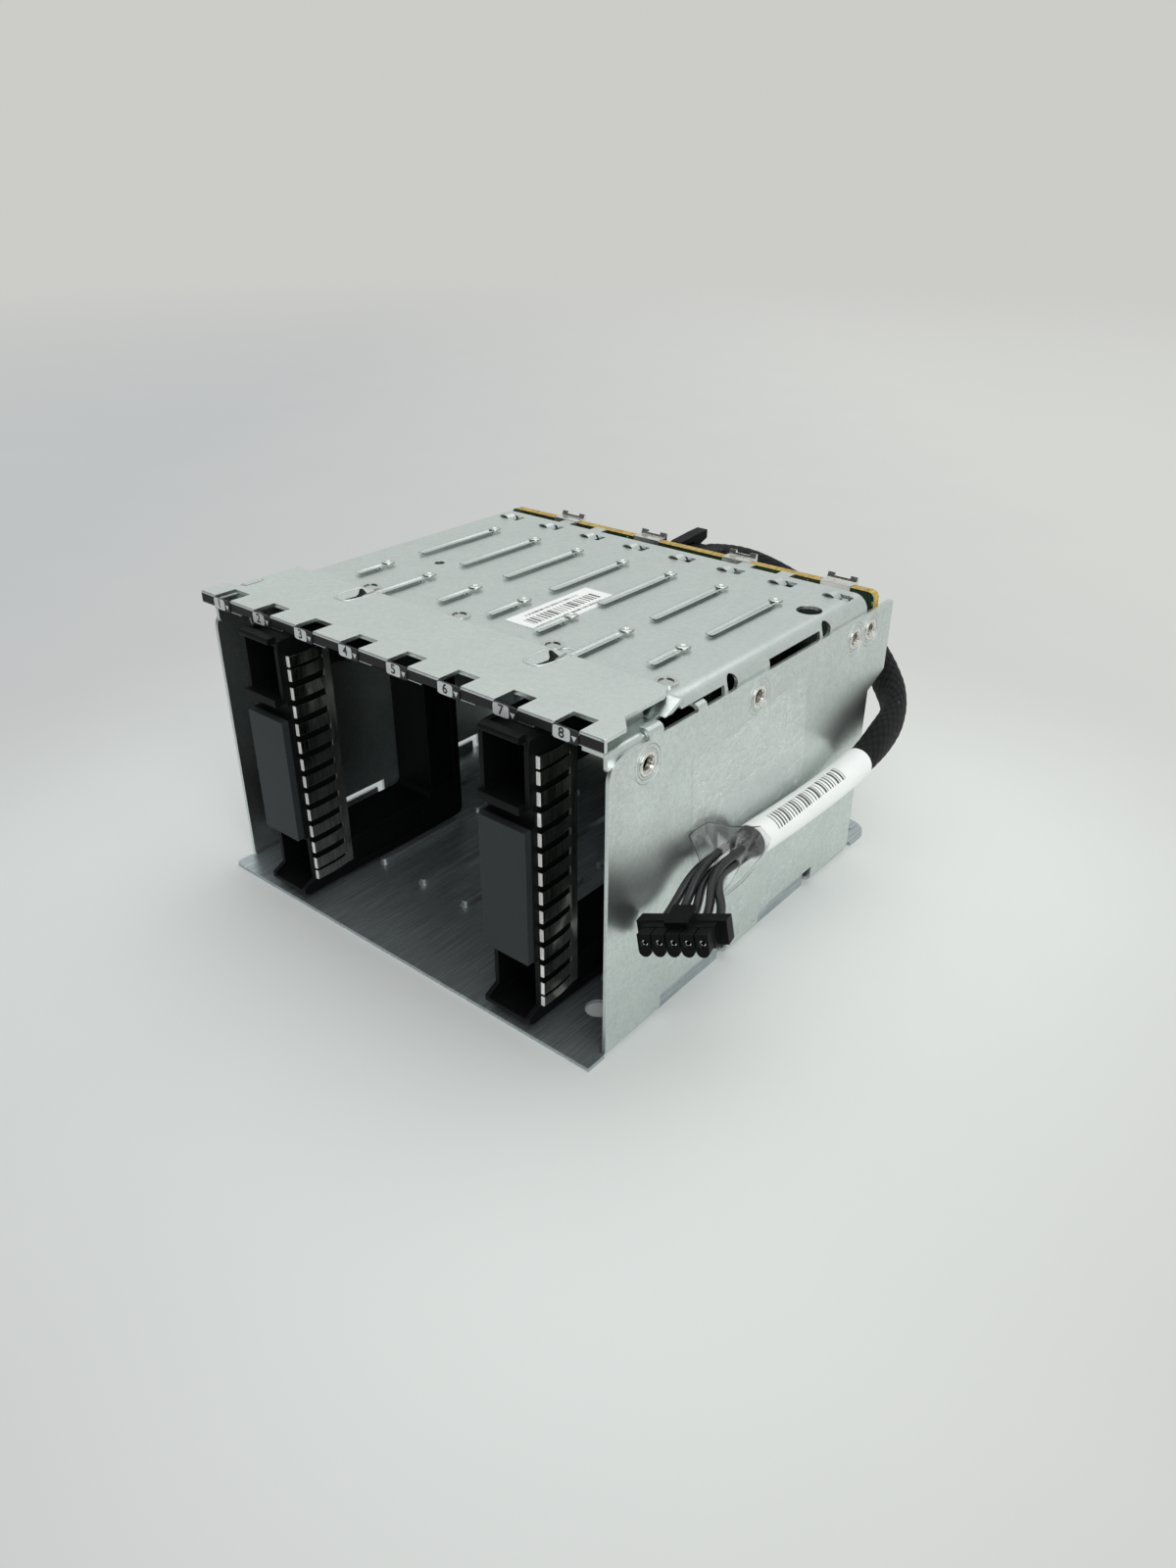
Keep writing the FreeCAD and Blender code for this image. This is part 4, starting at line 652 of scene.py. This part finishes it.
def braided_lead():
    """The sleeve of the lead.

    A tube of radius r(s) round the smooth line; its height is the higher of two families of round
    strands, a = n (v + s / lay) and b = n (v - s / lay), each sqrt(1 - (2 frac - 1)^2) wide, which
    pass over and under each other by cos(pi (floor(a) + b - 1/2)).  Where the lead turns round the
    wall's rear edge it is squeezed to an oval.
    """
    route = cord_curve("lead_line", LEAD_ROUTE)
    path = line_of(route)
    bpy.data.objects.remove(route)
    stations, sides = 700, 132
    way, spots, side, lift = along(path, stations)
    s = way[:, None] / MM
    turn = np.linspace(0.0, 1.0, sides, endpoint=False)[None, :]
    a = STRANDS / 2 * (turn + s / LAY)
    b = STRANDS / 2 * (turn - s / LAY)
    strand_a, strand_b = [np.sqrt(np.clip(1 - (2 * (part % 1) - 1) ** 2, 0, 1)) for part in (a, b)]
    over_a = 0.6 * strand_a + 0.4 * np.cos(np.pi * (np.floor(a) + b - 0.5))
    over_b = 0.6 * strand_b - 0.4 * np.cos(np.pi * (np.floor(b) + a - 0.5))
    relief = np.clip(np.maximum(over_a, over_b), 0, 1)
    plain = np.clip(np.minimum(s, s[-1] - s) / BRAID_END, 0, 1)
    radius = LEAD_RADIUS - BRAID_RELIEF * (1 - relief * plain)
    bulge = np.interp(s, BULGE, (0.0, 1.0, 1.0, 0.0))
    bulge = bulge * bulge * (3 - 2 * bulge)
    angle = 2 * np.pi * turn
    wide = radius * (1 - BULGE_NARROW * bulge) * np.cos(angle)
    tall = radius * ((1 + BULGE_TALL * bulge) * np.sin(angle) + BULGE_RISE * bulge)
    skin = spots[:, None] + MM * (wide[..., None] * side[:, None] + tall[..., None] * lift[:, None])
    points = np.concatenate([skin.reshape(-1, 3), spots[:1], spots[-1:]])
    count, ring = stations * sides, np.arange(sides)
    ends = [fan(ring, count), fan(count - sides + ring, count + 1)]
    faces = [grid(stations, sides, round_columns=True), *ends]
    made = piece("power_lead", points, faces, braid_finish(), "woven_sleeve")
    crown = made.data.attributes.new("crown", "FLOAT", "POINT")
    crown.data.foreach_set("value", np.concatenate([relief.ravel(), [0.0, 0.0]]).astype(np.float32))
    return made, path


lead, lead_path = braided_lead()
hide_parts("power_lead_sleeve")

# ---------------------------------------------------------------- wires from the sleeve to the plug
PLUG_SPOT = Vector((82.3, 5.1, 37.0))
PLUG_TURN = (
    Matrix.Rotation(math.radians(17), 3, "Z")
    @ Matrix.Rotation(math.radians(-11), 3, "X")
    @ Matrix.Rotation(math.radians(-14), 3, "Y")
)
PLUG_PITCH = 3.3
HOUSING_LENGTH = 11.0
WIRE_RADIUS = 1.08
WIRE_MIDDLE = Vector((74.4, 28.4, 39.8))
WIRE_SPREAD = 2.6
WIRES = ((180, 37.6), (108, 37.2), (252, 35.3), (36, 35.0), (324, 34.3))


def plug_wire(step, degrees):
    """One wire from the sleeve's end to its way in the back of the plug."""
    across = (step - (len(WIRES) - 1) / 2) * PLUG_PITCH
    seat = PLUG_SPOT + PLUG_TURN @ Vector((across, HOUSING_LENGTH + 0.1, 0))
    behind = PLUG_SPOT + PLUG_TURN @ Vector((across, HOUSING_LENGTH + 6.4, 0))
    angle = math.radians(degrees)
    spoke = Vector((WIRE_SPREAD * math.cos(angle), 0, WIRE_SPREAD * math.sin(angle)))
    begin = Vector(LEAD_ROUTE[-1]) + spoke + Vector((0, -0.3, 0))
    ahead = begin + Vector((0.1, -8.0, 0.9))
    over = WIRE_MIDDLE + spoke * 0.5 + PLUG_TURN @ Vector((across * 0.28, 0, 0))
    wire = cord_curve(f"plug_wire_{step + 1}", [begin, ahead, over, behind, seat], WIRE_RADIUS)
    wire.data.materials.append(WIRE_JACKET)
    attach(wire, "cage")
    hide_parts("plug_wires")


WIRE_JACKET = wire_finish()
for step, (degrees, length) in enumerate(WIRES):
    plug_wire(step, degrees)

# ---------------------------------------------------------------- clear film: on the wall, over the lead
WALL_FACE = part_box("right_side_panel")[1].x / MM
TAPE_LEFT = ((33.0, 31.0), (31.0, 50.0), (30.0, 67.0))
TAPE_RIGHT = ((84.0, 8.0), (83.0, 52.0), (80.5, 72.0))
TAPE_BOTTOM = ((33.0, 31.0), (64.0, 3.0), (84.0, 8.0))
TAPE_TOP = ((30.0, 67.0), (45.0, 67.6), (80.5, 72.0))
TAPE_OFF = 0.13
TAPE_RIPPLE = 0.035


def edge_line(corners, share):
    """A point at each share of the way along a broken line of corners."""
    corners = np.array(corners, float)
    reached = np.concatenate([[0.0], np.cumsum(np.linalg.norm(np.diff(corners, axis=0), axis=1))])
    return np.stack([np.interp(share * reached[-1], reached, axis) for axis in corners.T], -1)


def crumple(seed, u, v, waves, reach):
    """Sum of sine waves of random heading and phase over u and v, scaled to stay near -1 to 1.

    Each wave has between one and reach periods across.
    """
    rng = np.random.default_rng(seed)
    heading = rng.uniform(0, 2 * np.pi, waves)
    many = rng.uniform(1.0, reach, waves)
    phase = rng.uniform(0, 2 * np.pi, waves)
    total = 0.0
    for turn, count, late in zip(heading, many, phase):
        total = total + np.sin(2 * np.pi * count * (u * np.cos(turn) + v * np.sin(turn)) + late)
    return total / math.sqrt(waves) / 1.6


def film_sheet(name, points, material, thick):
    """One sheet of film from rows and columns of points."""
    return thin_piece(name, [(points, [grid(*points.shape[:2])])], material, "clear_film", thick)


def wall_tape():
    """The flat stretch of the film, a hair off the wall and faintly rippled.

    A Coons patch between its four edges: the blend of left and right, plus the blend of low and
    high, less the blend of the four corners.
    """
    u = np.linspace(0, 1, 70)[:, None, None]
    v = np.linspace(0, 1, 60)[None, :, None]
    left, right = [edge_line(edge, v[0, :, 0])[None] for edge in (TAPE_LEFT, TAPE_RIGHT)]
    low, high = [edge_line(edge, u[:, 0, 0])[:, None] for edge in (TAPE_BOTTOM, TAPE_TOP)]
    below, above = [(1 - u) * left[:, [row]] + u * right[:, [row]] for row in (0, -1)]
    corner = (1 - v) * below + v * above
    flat = (1 - u) * left + u * right + (1 - v) * low + v * high - corner
    x = WALL_FACE + TAPE_OFF + TAPE_RIPPLE * crumple(7, u[..., 0], v[..., 0], 9, 9.0)
    points = np.stack([x, flat[..., 0], flat[..., 1]], -1)
    made = film_sheet("wall_tape", points, FINISHES["clear_film"], 0.06)
    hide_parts("clear_tape")


TENT_RIM = (
    (68.9, 29.5, 47.7),
    (69.3, 36.0, 48.6),
    (72.2, 43.4, 44.9),
    (75.4, 50.8, 42.9),
    (78.5, 51.2, 40.2),
    (78.1, 50.4, 35.6),
    (76.4, 47.0, 32.6),
)
TENT_POINT = (74.4, 33.6, 28.6)
TENT_OUT = np.array([0.86, -0.42, 0.3])
TENT_BOW = (0.8, 1.9)
TENT_PLEATS = 5
TENT_PLEAT_RISE = 2.2
TENT_CRUMPLE = 0.4


def lead_tent():
    """The loose end of the film: straight lines from a curved rim round the lead to one point below.

    The rim carries pleats, a triangle wave in the share along it that dies away at the point;
    each line bows outwards by sin(pi v) and a crumple of sine waves breaks the folds up.
    """
    u = np.linspace(0, 1, 140)
    v = np.linspace(0, 1, 60)[None, :, None]
    rim = edge_line(TENT_RIM, u)[:, None]
    cone = (1 - v) * rim + v * np.array(TENT_POINT)
    swell = TENT_BOW[0] + TENT_BOW[1] * np.sin(np.pi * np.clip(u * 1.25, 0, 1))
    bow = np.sin(np.pi * v) * swell[:, None, None]
    wave = np.abs(((u * TENT_PLEATS + 0.2) % 1) * 2 - 1)[:, None, None] - 0.5
    pleat = TENT_PLEAT_RISE * wave * (1 - v) ** 0.6 * np.minimum(1, 3 * v + 0.3)
    rough = TENT_CRUMPLE * crumple(11, u[:, None], v[..., 0], 8, 5.0)[..., None] * (1 - v)
    film_sheet("lead_end_film", cone + (bow + pleat + rough) * TENT_OUT, fold_finish(), 0.07)


wall_tape()
lead_tent()

# ---------------------------------------------------------------- threads and rings of the wall inserts
INSERTS = [mount for mount in frame["record"]["mounts"] if mount["kind"] == "threaded_hole"]
THREAD_PITCH = 0.5
THREAD_TURNS = 2.0
THREAD_START = 0.45
THREAD_SECTION = np.array([[-0.22, 0.08], [0.0, -0.26], [0.22, 0.08]])
COLLAR = ((2.5, 0.55, 0.3),)
RINGS = ((3.6, 0.2, 0.09), (4.6, 0.15, 0.035))


def about(mount, x, radius, turn):
    """Points at a radius and an angle about an insert's axis, at X."""
    _, y, z = np.array(mount["pos_m"]) / MM
    return np.stack(np.broadcast_arrays(x, y + radius * np.cos(turn), z + radius * np.sin(turn)), -1)


def insert_threads():
    """A thread in each insert: a ridge of triangular section on a helix that goes in by a pitch a turn."""
    steps = 48
    t = np.linspace(0.0, THREAD_TURNS * 2 * np.pi, steps)[:, None]
    shift, rise = THREAD_SECTION.T[:, None]
    last = steps * 3 - 1
    faces = [grid(steps, 3, round_columns=True), np.array([[0, 1, 2], [last, last - 1, last - 2]])]
    depth = THREAD_START - THREAD_PITCH * t / (2 * np.pi) - shift
    blocks = []
    for mount in INSERTS:
        x = mount["pos_m"][0] / MM + mount["axis"][0] * depth
        blocks.append((about(mount, x, mount["dims"]["r_mm"] + rise, t), faces))
    finish = bright_metal("nickel thread", (116, 110, 100), (226, 220, 206), 0.2, tarnish=(120, 102, 78))
    piece("insert_threads", *gather(blocks), finish, "plated_steel")


def insert_rings(name, rings, material, slot):
    """Low ridges round each insert, revolved from a half-round profile.

    A ring is its radius, half width and rise.
    """
    steps, profile = 56, 5
    turn = np.linspace(0.0, 2 * np.pi, steps, endpoint=False)[:, None]
    arc = np.linspace(0.0, np.pi, profile)[None, :]
    faces = [grid(steps, profile, True, True)]
    blocks = []
    for mount in INSERTS:
        out = mount["axis"][0]
        face = (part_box("right_side_panel")[1] if out > 0 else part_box("left_side_panel")[0]).x / MM
        for ring, half, rise in rings:
            x = face + out * (rise * np.sin(arc) - 0.01)
            blocks.append((about(mount, x, ring - half * np.cos(arc), turn), faces))
    piece(name, *gather(blocks), material, slot)


insert_threads()
insert_rings("insert_collars", COLLAR, FINISHES["plated_steel"], "plated_steel")
insert_rings("insert_rings", RINGS, ZINC, "galvanised")

# ---------------------------------------------------------------- print on the cover's lip
cover_low, cover_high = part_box("front_cover_plate")
BAYS = 8
BAY_PITCH = 17.0
WINDOW_SHIFT = -1.95
PLATE_HALF = (2.35, 1.5)
PLATE_OFF = -1.1
ARROW = ((-0.72, 0.25), (0.72, 0.25), (0.0, -1.05))
ARROW_OFF = 2.3
NUMBER_TALL = 3.3
NUMBER_BOLD = 0.07
CARRIER_HALF = (3.35, 1.62)
CARRIER_THICK = 0.3
LIP_MIDDLE = cover_low.z / MM + 1.4
LIP_FACE = cover_low.y / MM
PRINT = 0.03
SUNK = 0.05


def bay_middle(number):
    """The middle of a bay's window along X, in millimetres."""
    return (number - (BAYS + 1) / 2) * BAY_PITCH + WINDOW_SHIFT


def lip_tabs(name, offset, half, front, back, power, material):
    """One flat tab per bay: the curve |x/a|^p + |z/b|^p = 1 in shrinking copies, with a rim and a back."""
    steps = 48
    edge_x, edge_z = oval(np.linspace(0.0, 2 * np.pi, steps, endpoint=False), 2 / power)
    ring = np.arange(steps)
    faces = [grid(3, steps, round_columns=True), fan(2 * steps + ring, 3 * steps), fan(ring, 3 * steps + 1)]
    blocks = []
    for number in range(1, BAYS + 1):
        middle = bay_middle(number) + offset
        rows = []
        for share, y in ((1.0, back), (1.0, front), (0.5, front)):
            x, z = middle + half[0] * share * edge_x, LIP_MIDDLE + half[1] * share * edge_z
            rows.append(np.stack([x, np.full(steps, y), z], 1))
        poles = [[middle, front, LIP_MIDDLE], [middle, back, LIP_MIDDLE]]
        blocks.append((np.concatenate([*rows, poles]), faces))
    piece(name, *gather(blocks), material, "galvanised", smooth=False)


def lip_arrows(front, back):
    """A small solid triangle beside each number, point down: three corners with a front and a back."""
    x, z = np.array(ARROW).T
    faces = [grid(2, 3, round_columns=True), np.array([[0, 1, 2], [5, 4, 3]])]
    blocks = []
    for number in range(1, BAYS + 1):
        middle = bay_middle(number) + ARROW_OFF
        rows = [np.stack([middle + x, np.full(3, y), LIP_MIDDLE + z], -1) for y in (back, front)]
        blocks.append((np.stack(rows), faces))
    material = ink("pale arrows", (186, 189, 190), (210, 213, 213))
    piece("bay_arrows", *gather(blocks), material, "galvanised", smooth=False)


def bay_numbers(front):
    """The plain numbers 1 to 8, one on each pale box."""
    joined = bmesh.new()
    for number in range(1, BAYS + 1):
        data = bpy.data.curves.new(f"number_{number}", "FONT")
        data.body = str(number)
        data.size = NUMBER_TALL * MM
        data.offset = NUMBER_BOLD * MM
        data.extrude = 0.01 * MM
        data.align_x = "CENTER"
        data.align_y = "CENTER"
        text = show(f"number_{number}", data)
        bpy.context.view_layer.update()
        mesh = bpy.data.meshes.new_from_object(text)
        bpy.data.objects.remove(text)
        spot = Vector((bay_middle(number) + PLATE_OFF, front - 0.01, LIP_MIDDLE)) * MM
        mesh.transform(Matrix.Translation(spot) @ Matrix.Rotation(math.pi / 2, 4, "X"))
        joined.from_mesh(mesh)
        bpy.data.meshes.remove(mesh)
    bmesh.ops.remove_doubles(joined, verts=joined.verts, dist=1e-7)
    whole = bpy.data.meshes.new("bay_numbers")
    joined.to_mesh(whole)
    joined.free()
    carried("bay_numbers", whole, ink("dark print", (24, 25, 27), (38, 40, 42)))


def lip_print_pieces():
    """Black tab, pale box, arrow and number of every bay, each layer on the one before."""
    tab_face = LIP_FACE - CARRIER_THICK
    print_face = tab_face - PRINT
    lip_tabs("bay_number_tabs", 0.0, CARRIER_HALF, tab_face, LIP_FACE + SUNK, 14,
             ink("black print", (10, 11, 12), (24, 25, 26)))
    lip_tabs("bay_number_boxes", PLATE_OFF, PLATE_HALF, print_face, tab_face + SUNK, 6,
             ink("pale print", (190, 193, 194), (212, 215, 215)))
    lip_arrows(print_face, tab_face + SUNK)
    bay_numbers(print_face)


lip_print_pieces()

# ---------------------------------------------------------------- slots across the cover's rear edge
SLOT_SPOTS = (-37.0, 30.5)
SLOT_PATH = ((1.2, 18.4), (2.1, 20.6), (2.6, 23.0), (1.7, 24.9), (-0.2, 26.2), (-2.2, 27.6))
SLOT_HALF = (0.35, 0.75, 1.05, 1.25, 0.8, 0.55)
TAIL_PATH = ((2.6, 23.6), (2.3, 27.0), (1.6, 30.4), (0.9, 32.6))
TAIL_HALF = (0.6, 0.42, 0.34, 0.26)
RIM_MIDDLE = 25.8
RIM_REACH = (3.4, 7.4)
RIM_POWER = 0.62
RIM_HALF = 0.45
RIM_RISE = 0.14
RIM_TURN = math.radians(-4)
SHEET_STEP = 1.0
SKIN = 0.02


def level_at(y):
    """The sheet's upper face at a depth: the cover's up to its rear edge, the top plate's behind it."""
    return np.where(y < cover_high.y / MM, cover_high.z / MM, cover_high.z / MM - SHEET_STEP)


def strip(path, halves, x):
    """A path carried sideways by its half width, its middle line a little raised, a hair over the sheet."""
    share = np.linspace(0, 1, 26)
    knots = np.linspace(0, 1, len(path))
    line = np.stack([np.interp(share, knots, axis) for axis in np.array(path).T], 1)
    half = np.interp(share, knots, halves) * np.sqrt(np.clip(1 - (2 * share - 1) ** 8, 0, 1))
    ahead = np.gradient(line, axis=0)
    ahead /= np.linalg.norm(ahead, axis=1)[:, None]
    across = np.stack([-ahead[:, 1], ahead[:, 0]], 1)
    rows = []
    for side, rise in ((-1, 0.0), (0, 0.012), (1, 0.0)):
        row = line + across * (half * side)[:, None]
        rows.append(np.stack([row[:, 0] + x, row[:, 1], level_at(row[:, 1]) + SKIN + rise], 1))
    return np.stack(rows, 1)


def pressed_slots():
    """A painted shadow in the mouths of the two slots, a black skin over the sheet, and the shallow grooves
    that run on from them over both sheets, in zinc darkened as painted shade.
    """
    # Painted shadow: a near-black skin where the slots open.
    dark = moulded("slot shadow", (2, 3, 3), (6, 7, 7), 0.7)
    # Painted shade: darker zinc along the grooves.
    painted_groove_shade = zinc_coat("zinc with painted groove shade", (128, 136, 135), (166, 174, 172))
    for name, path, halves, material in (("slot_mouths", SLOT_PATH, SLOT_HALF, dark),
                                         ("slot_grooves", TAIL_PATH, TAIL_HALF, painted_groove_shade)):
        strips = [strip(path, halves, x) for x in SLOT_SPOTS]
        blocks = [(points, [grid(*points.shape[:2])]) for points in strips]
        thin_piece(name, blocks, material, "galvanised", SKIN)


def slot_rims():
    """A low pressed ridge round each slot: a half-round profile carried round a long, turned oval."""
    steps, profile = 96, 5
    turn = np.linspace(0, 2 * np.pi, steps, endpoint=False)[:, None]
    arc = np.linspace(0, np.pi, profile)[None, :]
    inset = RIM_HALF * np.cos(arc)
    across, ahead = [part * (reach - inset) for part, reach in zip(oval(turn, RIM_POWER), RIM_REACH)]
    x = across * math.cos(RIM_TURN) - ahead * math.sin(RIM_TURN)
    y = RIM_MIDDLE + across * math.sin(RIM_TURN) + ahead * math.cos(RIM_TURN)
    z = level_at(y) + RIM_RISE * np.sin(arc) - SKIN
    blocks = [(np.stack([x + spot, y, z], -1), [grid(steps, profile, True, True)]) for spot in SLOT_SPOTS]
    piece("slot_rims", *gather(blocks), NODE_FINISHES["front_cover_plate"], "galvanised")


# ---------------------------------------------------------------- rolled grooves of the top plate
GROOVE_WALLS = ((36, 45.5), (27.5, 45.5), (35, 46.5), (36, 47.5), (35, 46.5), (26, 47.5), (36.5, 47.5))
GROOVE_REAR = (60.0, 92.0)
GROOVE_HALF = 1.45
GROOVE_DEEP = 0.34
GROOVE_LIFT = 0.03
PIT_PROFILE = ((0.3, 0.05), (0.55, 0.12), (0.85, 0.36), (1.15, 0.42), (1.5, 0.28), (2.0, 0.015))
PIT_SHIFT = (2.2, -0.2)
PIT_POLE = 0.07


def guide_grooves():
    """Soft floors and raised ends for the rolled grooves.

    A floor is a trough of depth d (1 - (2 s)^2)^1.3 over the share s from its middle line, and d
    grows from front to rear.  An end is a profile of radius and rise, revolved and closed by a pole.
    """
    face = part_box("top_plate")[1].z / MM
    long, wide, steps = 60, 15, 36
    share = np.linspace(0, 1, long)[:, None]
    side = np.linspace(-1, 1, wide)[None, :]
    half = GROOVE_HALF * np.sqrt(np.clip(1 - np.abs(2 * share - 1) ** 24, 0.02, 1))
    deep = GROOVE_DEEP * (0.25 + 0.75 * np.clip(share * 1.6, 0, 1)) * np.clip((1 - share) * 14, 0.15, 1)
    hollow = deep * np.clip(1 - (side * 2) ** 2, 0, 1) ** 1.3
    trough = GROOVE_LIFT * (1 + np.sin(np.pi * np.abs(side))) - hollow
    turn = np.linspace(0, 2 * np.pi, steps, endpoint=False)[None, :]
    radius, rise = np.array(PIT_PROFILE)[::-1].T[..., None]
    pole = len(PIT_PROFILE) * steps
    inner = fan(pole - steps + np.arange(steps), pole)
    pit_faces = [grid(len(PIT_PROFILE), steps, round_columns=True), inner]
    floors, pits = [], []
    for wall in range(1, BAYS):
        x = (wall - BAYS / 2) * BAY_PITCH
        for (front, back), shift in zip((GROOVE_WALLS[wall - 1], GROOVE_REAR), PIT_SHIFT):
            y = front - 0.1 + (back - front + 0.2) * share
            points = np.broadcast_arrays(x + half * side, y, face + trough)
            floors.append((np.stack(points, -1), [grid(long, wide)]))
            y = back + shift
            rings = np.broadcast_arrays(x + radius * np.cos(turn), y + radius * np.sin(turn),
                                        face + GROOVE_LIFT + rise)
            pits.append((np.append(np.stack(rings, -1), [x, y, face + PIT_POLE]), pit_faces))
    thin_piece("groove_floors", floors, ZINC, "galvanised", SKIN)
    # The ends take the pressed buttons' finish, with painted shade in their hollows.
    thin_piece("groove_ends", pits, NODE_FINISHES["cover_clinch_buttons"], "galvanised", SKIN)


guide_grooves()
pressed_slots()
slot_rims()

# ---------------------------------------------------------------- floor and light, in metres
FLOOR_REACH = 6.0
CAGE_MIDDLE = {"X": 0.0, "Y": 0.055}
CAGE_HALF = 0.07
FADE = (0.01, 0.17)
HAZE = (0.5, 2.0)
BACKDROP = linear(204, 204, 201)


def floor_finish():
    """A pale seamless sweep with painted shade that makes it a little darker to the left than to the right,
    and that fades into the room.

    It takes shadows near the cage and glows evenly further off, by the distance of a point beyond
    the cage's rectangle: the root of the squares of how far it lies past each pair of sides.
    """
    made, tree, shader = start("pale sweep")
    spot = axes_of(tree)
    # Painted shade: the sweep darkens towards the left.
    across = work(tree, "ADD", work(tree, "MULTIPLY", spot["X"], 0.77),
                  work(tree, "MULTIPLY", spot["Y"], 0.64))
    mottle = work(tree, "SUBTRACT", noise(tree, object_spot(tree), 60.0), 0.5)
    share = work(tree, "ADD", spread(tree, across, -0.25, 0.35), work(tree, "MULTIPLY", mottle, 0.15))
    cloth = blend(tree, share, linear(216, 219, 219), linear(238, 241, 238))
    feed(tree, shader, Base_Color=cloth, Roughness=0.8, Specular_IOR_Level=0.2)
    squares = []
    for axis, middle in CAGE_MIDDLE.items():
        reach = work(tree, "ABSOLUTE", work(tree, "SUBTRACT", spot[axis], middle))
        beyond = work(tree, "MAXIMUM", work(tree, "SUBTRACT", reach, CAGE_HALF), 0.0)
        squares.append(work(tree, "POWER", beyond, 2.0))
    far = work(tree, "SQRT", work(tree, "ADD", *squares))
    # The glow carries the same painted shade, darker to the left.
    pale = blend(tree, share, linear(192, 195, 195), linear(213, 215, 211))
    glow = blend(tree, spread(tree, far, *HAZE, kind="SMOOTHSTEP"), pale, BACKDROP)
    sheen = node(tree, "Emission", {"Color": glow})
    unlit = work(tree, "SUBTRACT", 1.0, node(tree, "LightPath").outputs["Is Diffuse Ray"])
    keep = work(tree, "MULTIPLY", spread(tree, far, *FADE, kind="SMOOTHSTEP"), unlit)
    mix = node(tree, "MixShader", {0: keep, 1: shader.outputs[0], 2: sheen.outputs[0]})
    tree.links.new(mix.outputs[0], tree.nodes["Material Output"].inputs["Surface"])
    return made


def floor():
    """The flat sweep that the cage stands on."""
    data = bpy.data.meshes.new("Floor")
    corners = [(x * FLOOR_REACH, y * FLOOR_REACH, 0) for x, y in ((-1, -1), (1, -1), (1, 1), (-1, 1))]
    data.from_pydata(corners, [], [(0, 1, 2, 3)])
    data.materials.append(floor_finish())
    show("Floor", data)


AIM = Vector((0.0, 0.05, 0.03))
LAMPS = (
    ("Softbox_over", (-0.25, 0.35, 1.7), 2.2, 12.5),
    ("Softbox_front", (1.0, -0.75, 1.05), 1.3, 13.0),
)


def lighting():
    """A pale room, darker towards the front, with a broad soft lamp overhead and a smaller one in front."""
    world = bpy.data.worlds.new("World")
    bpy.context.scene.world = world
    world.use_nodes = True
    tree = world.node_tree
    background = tree.nodes["Background"]
    back = spread(tree, axes_of(tree, "Generated")["Y"], -0.75, 0.25)
    room = blend(tree, back, linear(80, 82, 84), linear(208, 211, 209))
    seen = node(tree, "LightPath").outputs["Is Camera Ray"]
    tree.links.new(blend(tree, seen, room, BACKDROP), background.inputs["Color"])
    background.inputs["Strength"].default_value = 1.0
    for name, spot, size, energy in LAMPS:
        data = bpy.data.lights.new(name, "AREA")
        data.shape = "SQUARE"
        data.size = size
        data.energy = energy
        aim = (AIM - Vector(spot)).to_track_quat("-Z", "Y")
        show(name, data).matrix_world = Matrix.Translation(spot) @ aim.to_matrix().to_4x4()


floor()
lighting()
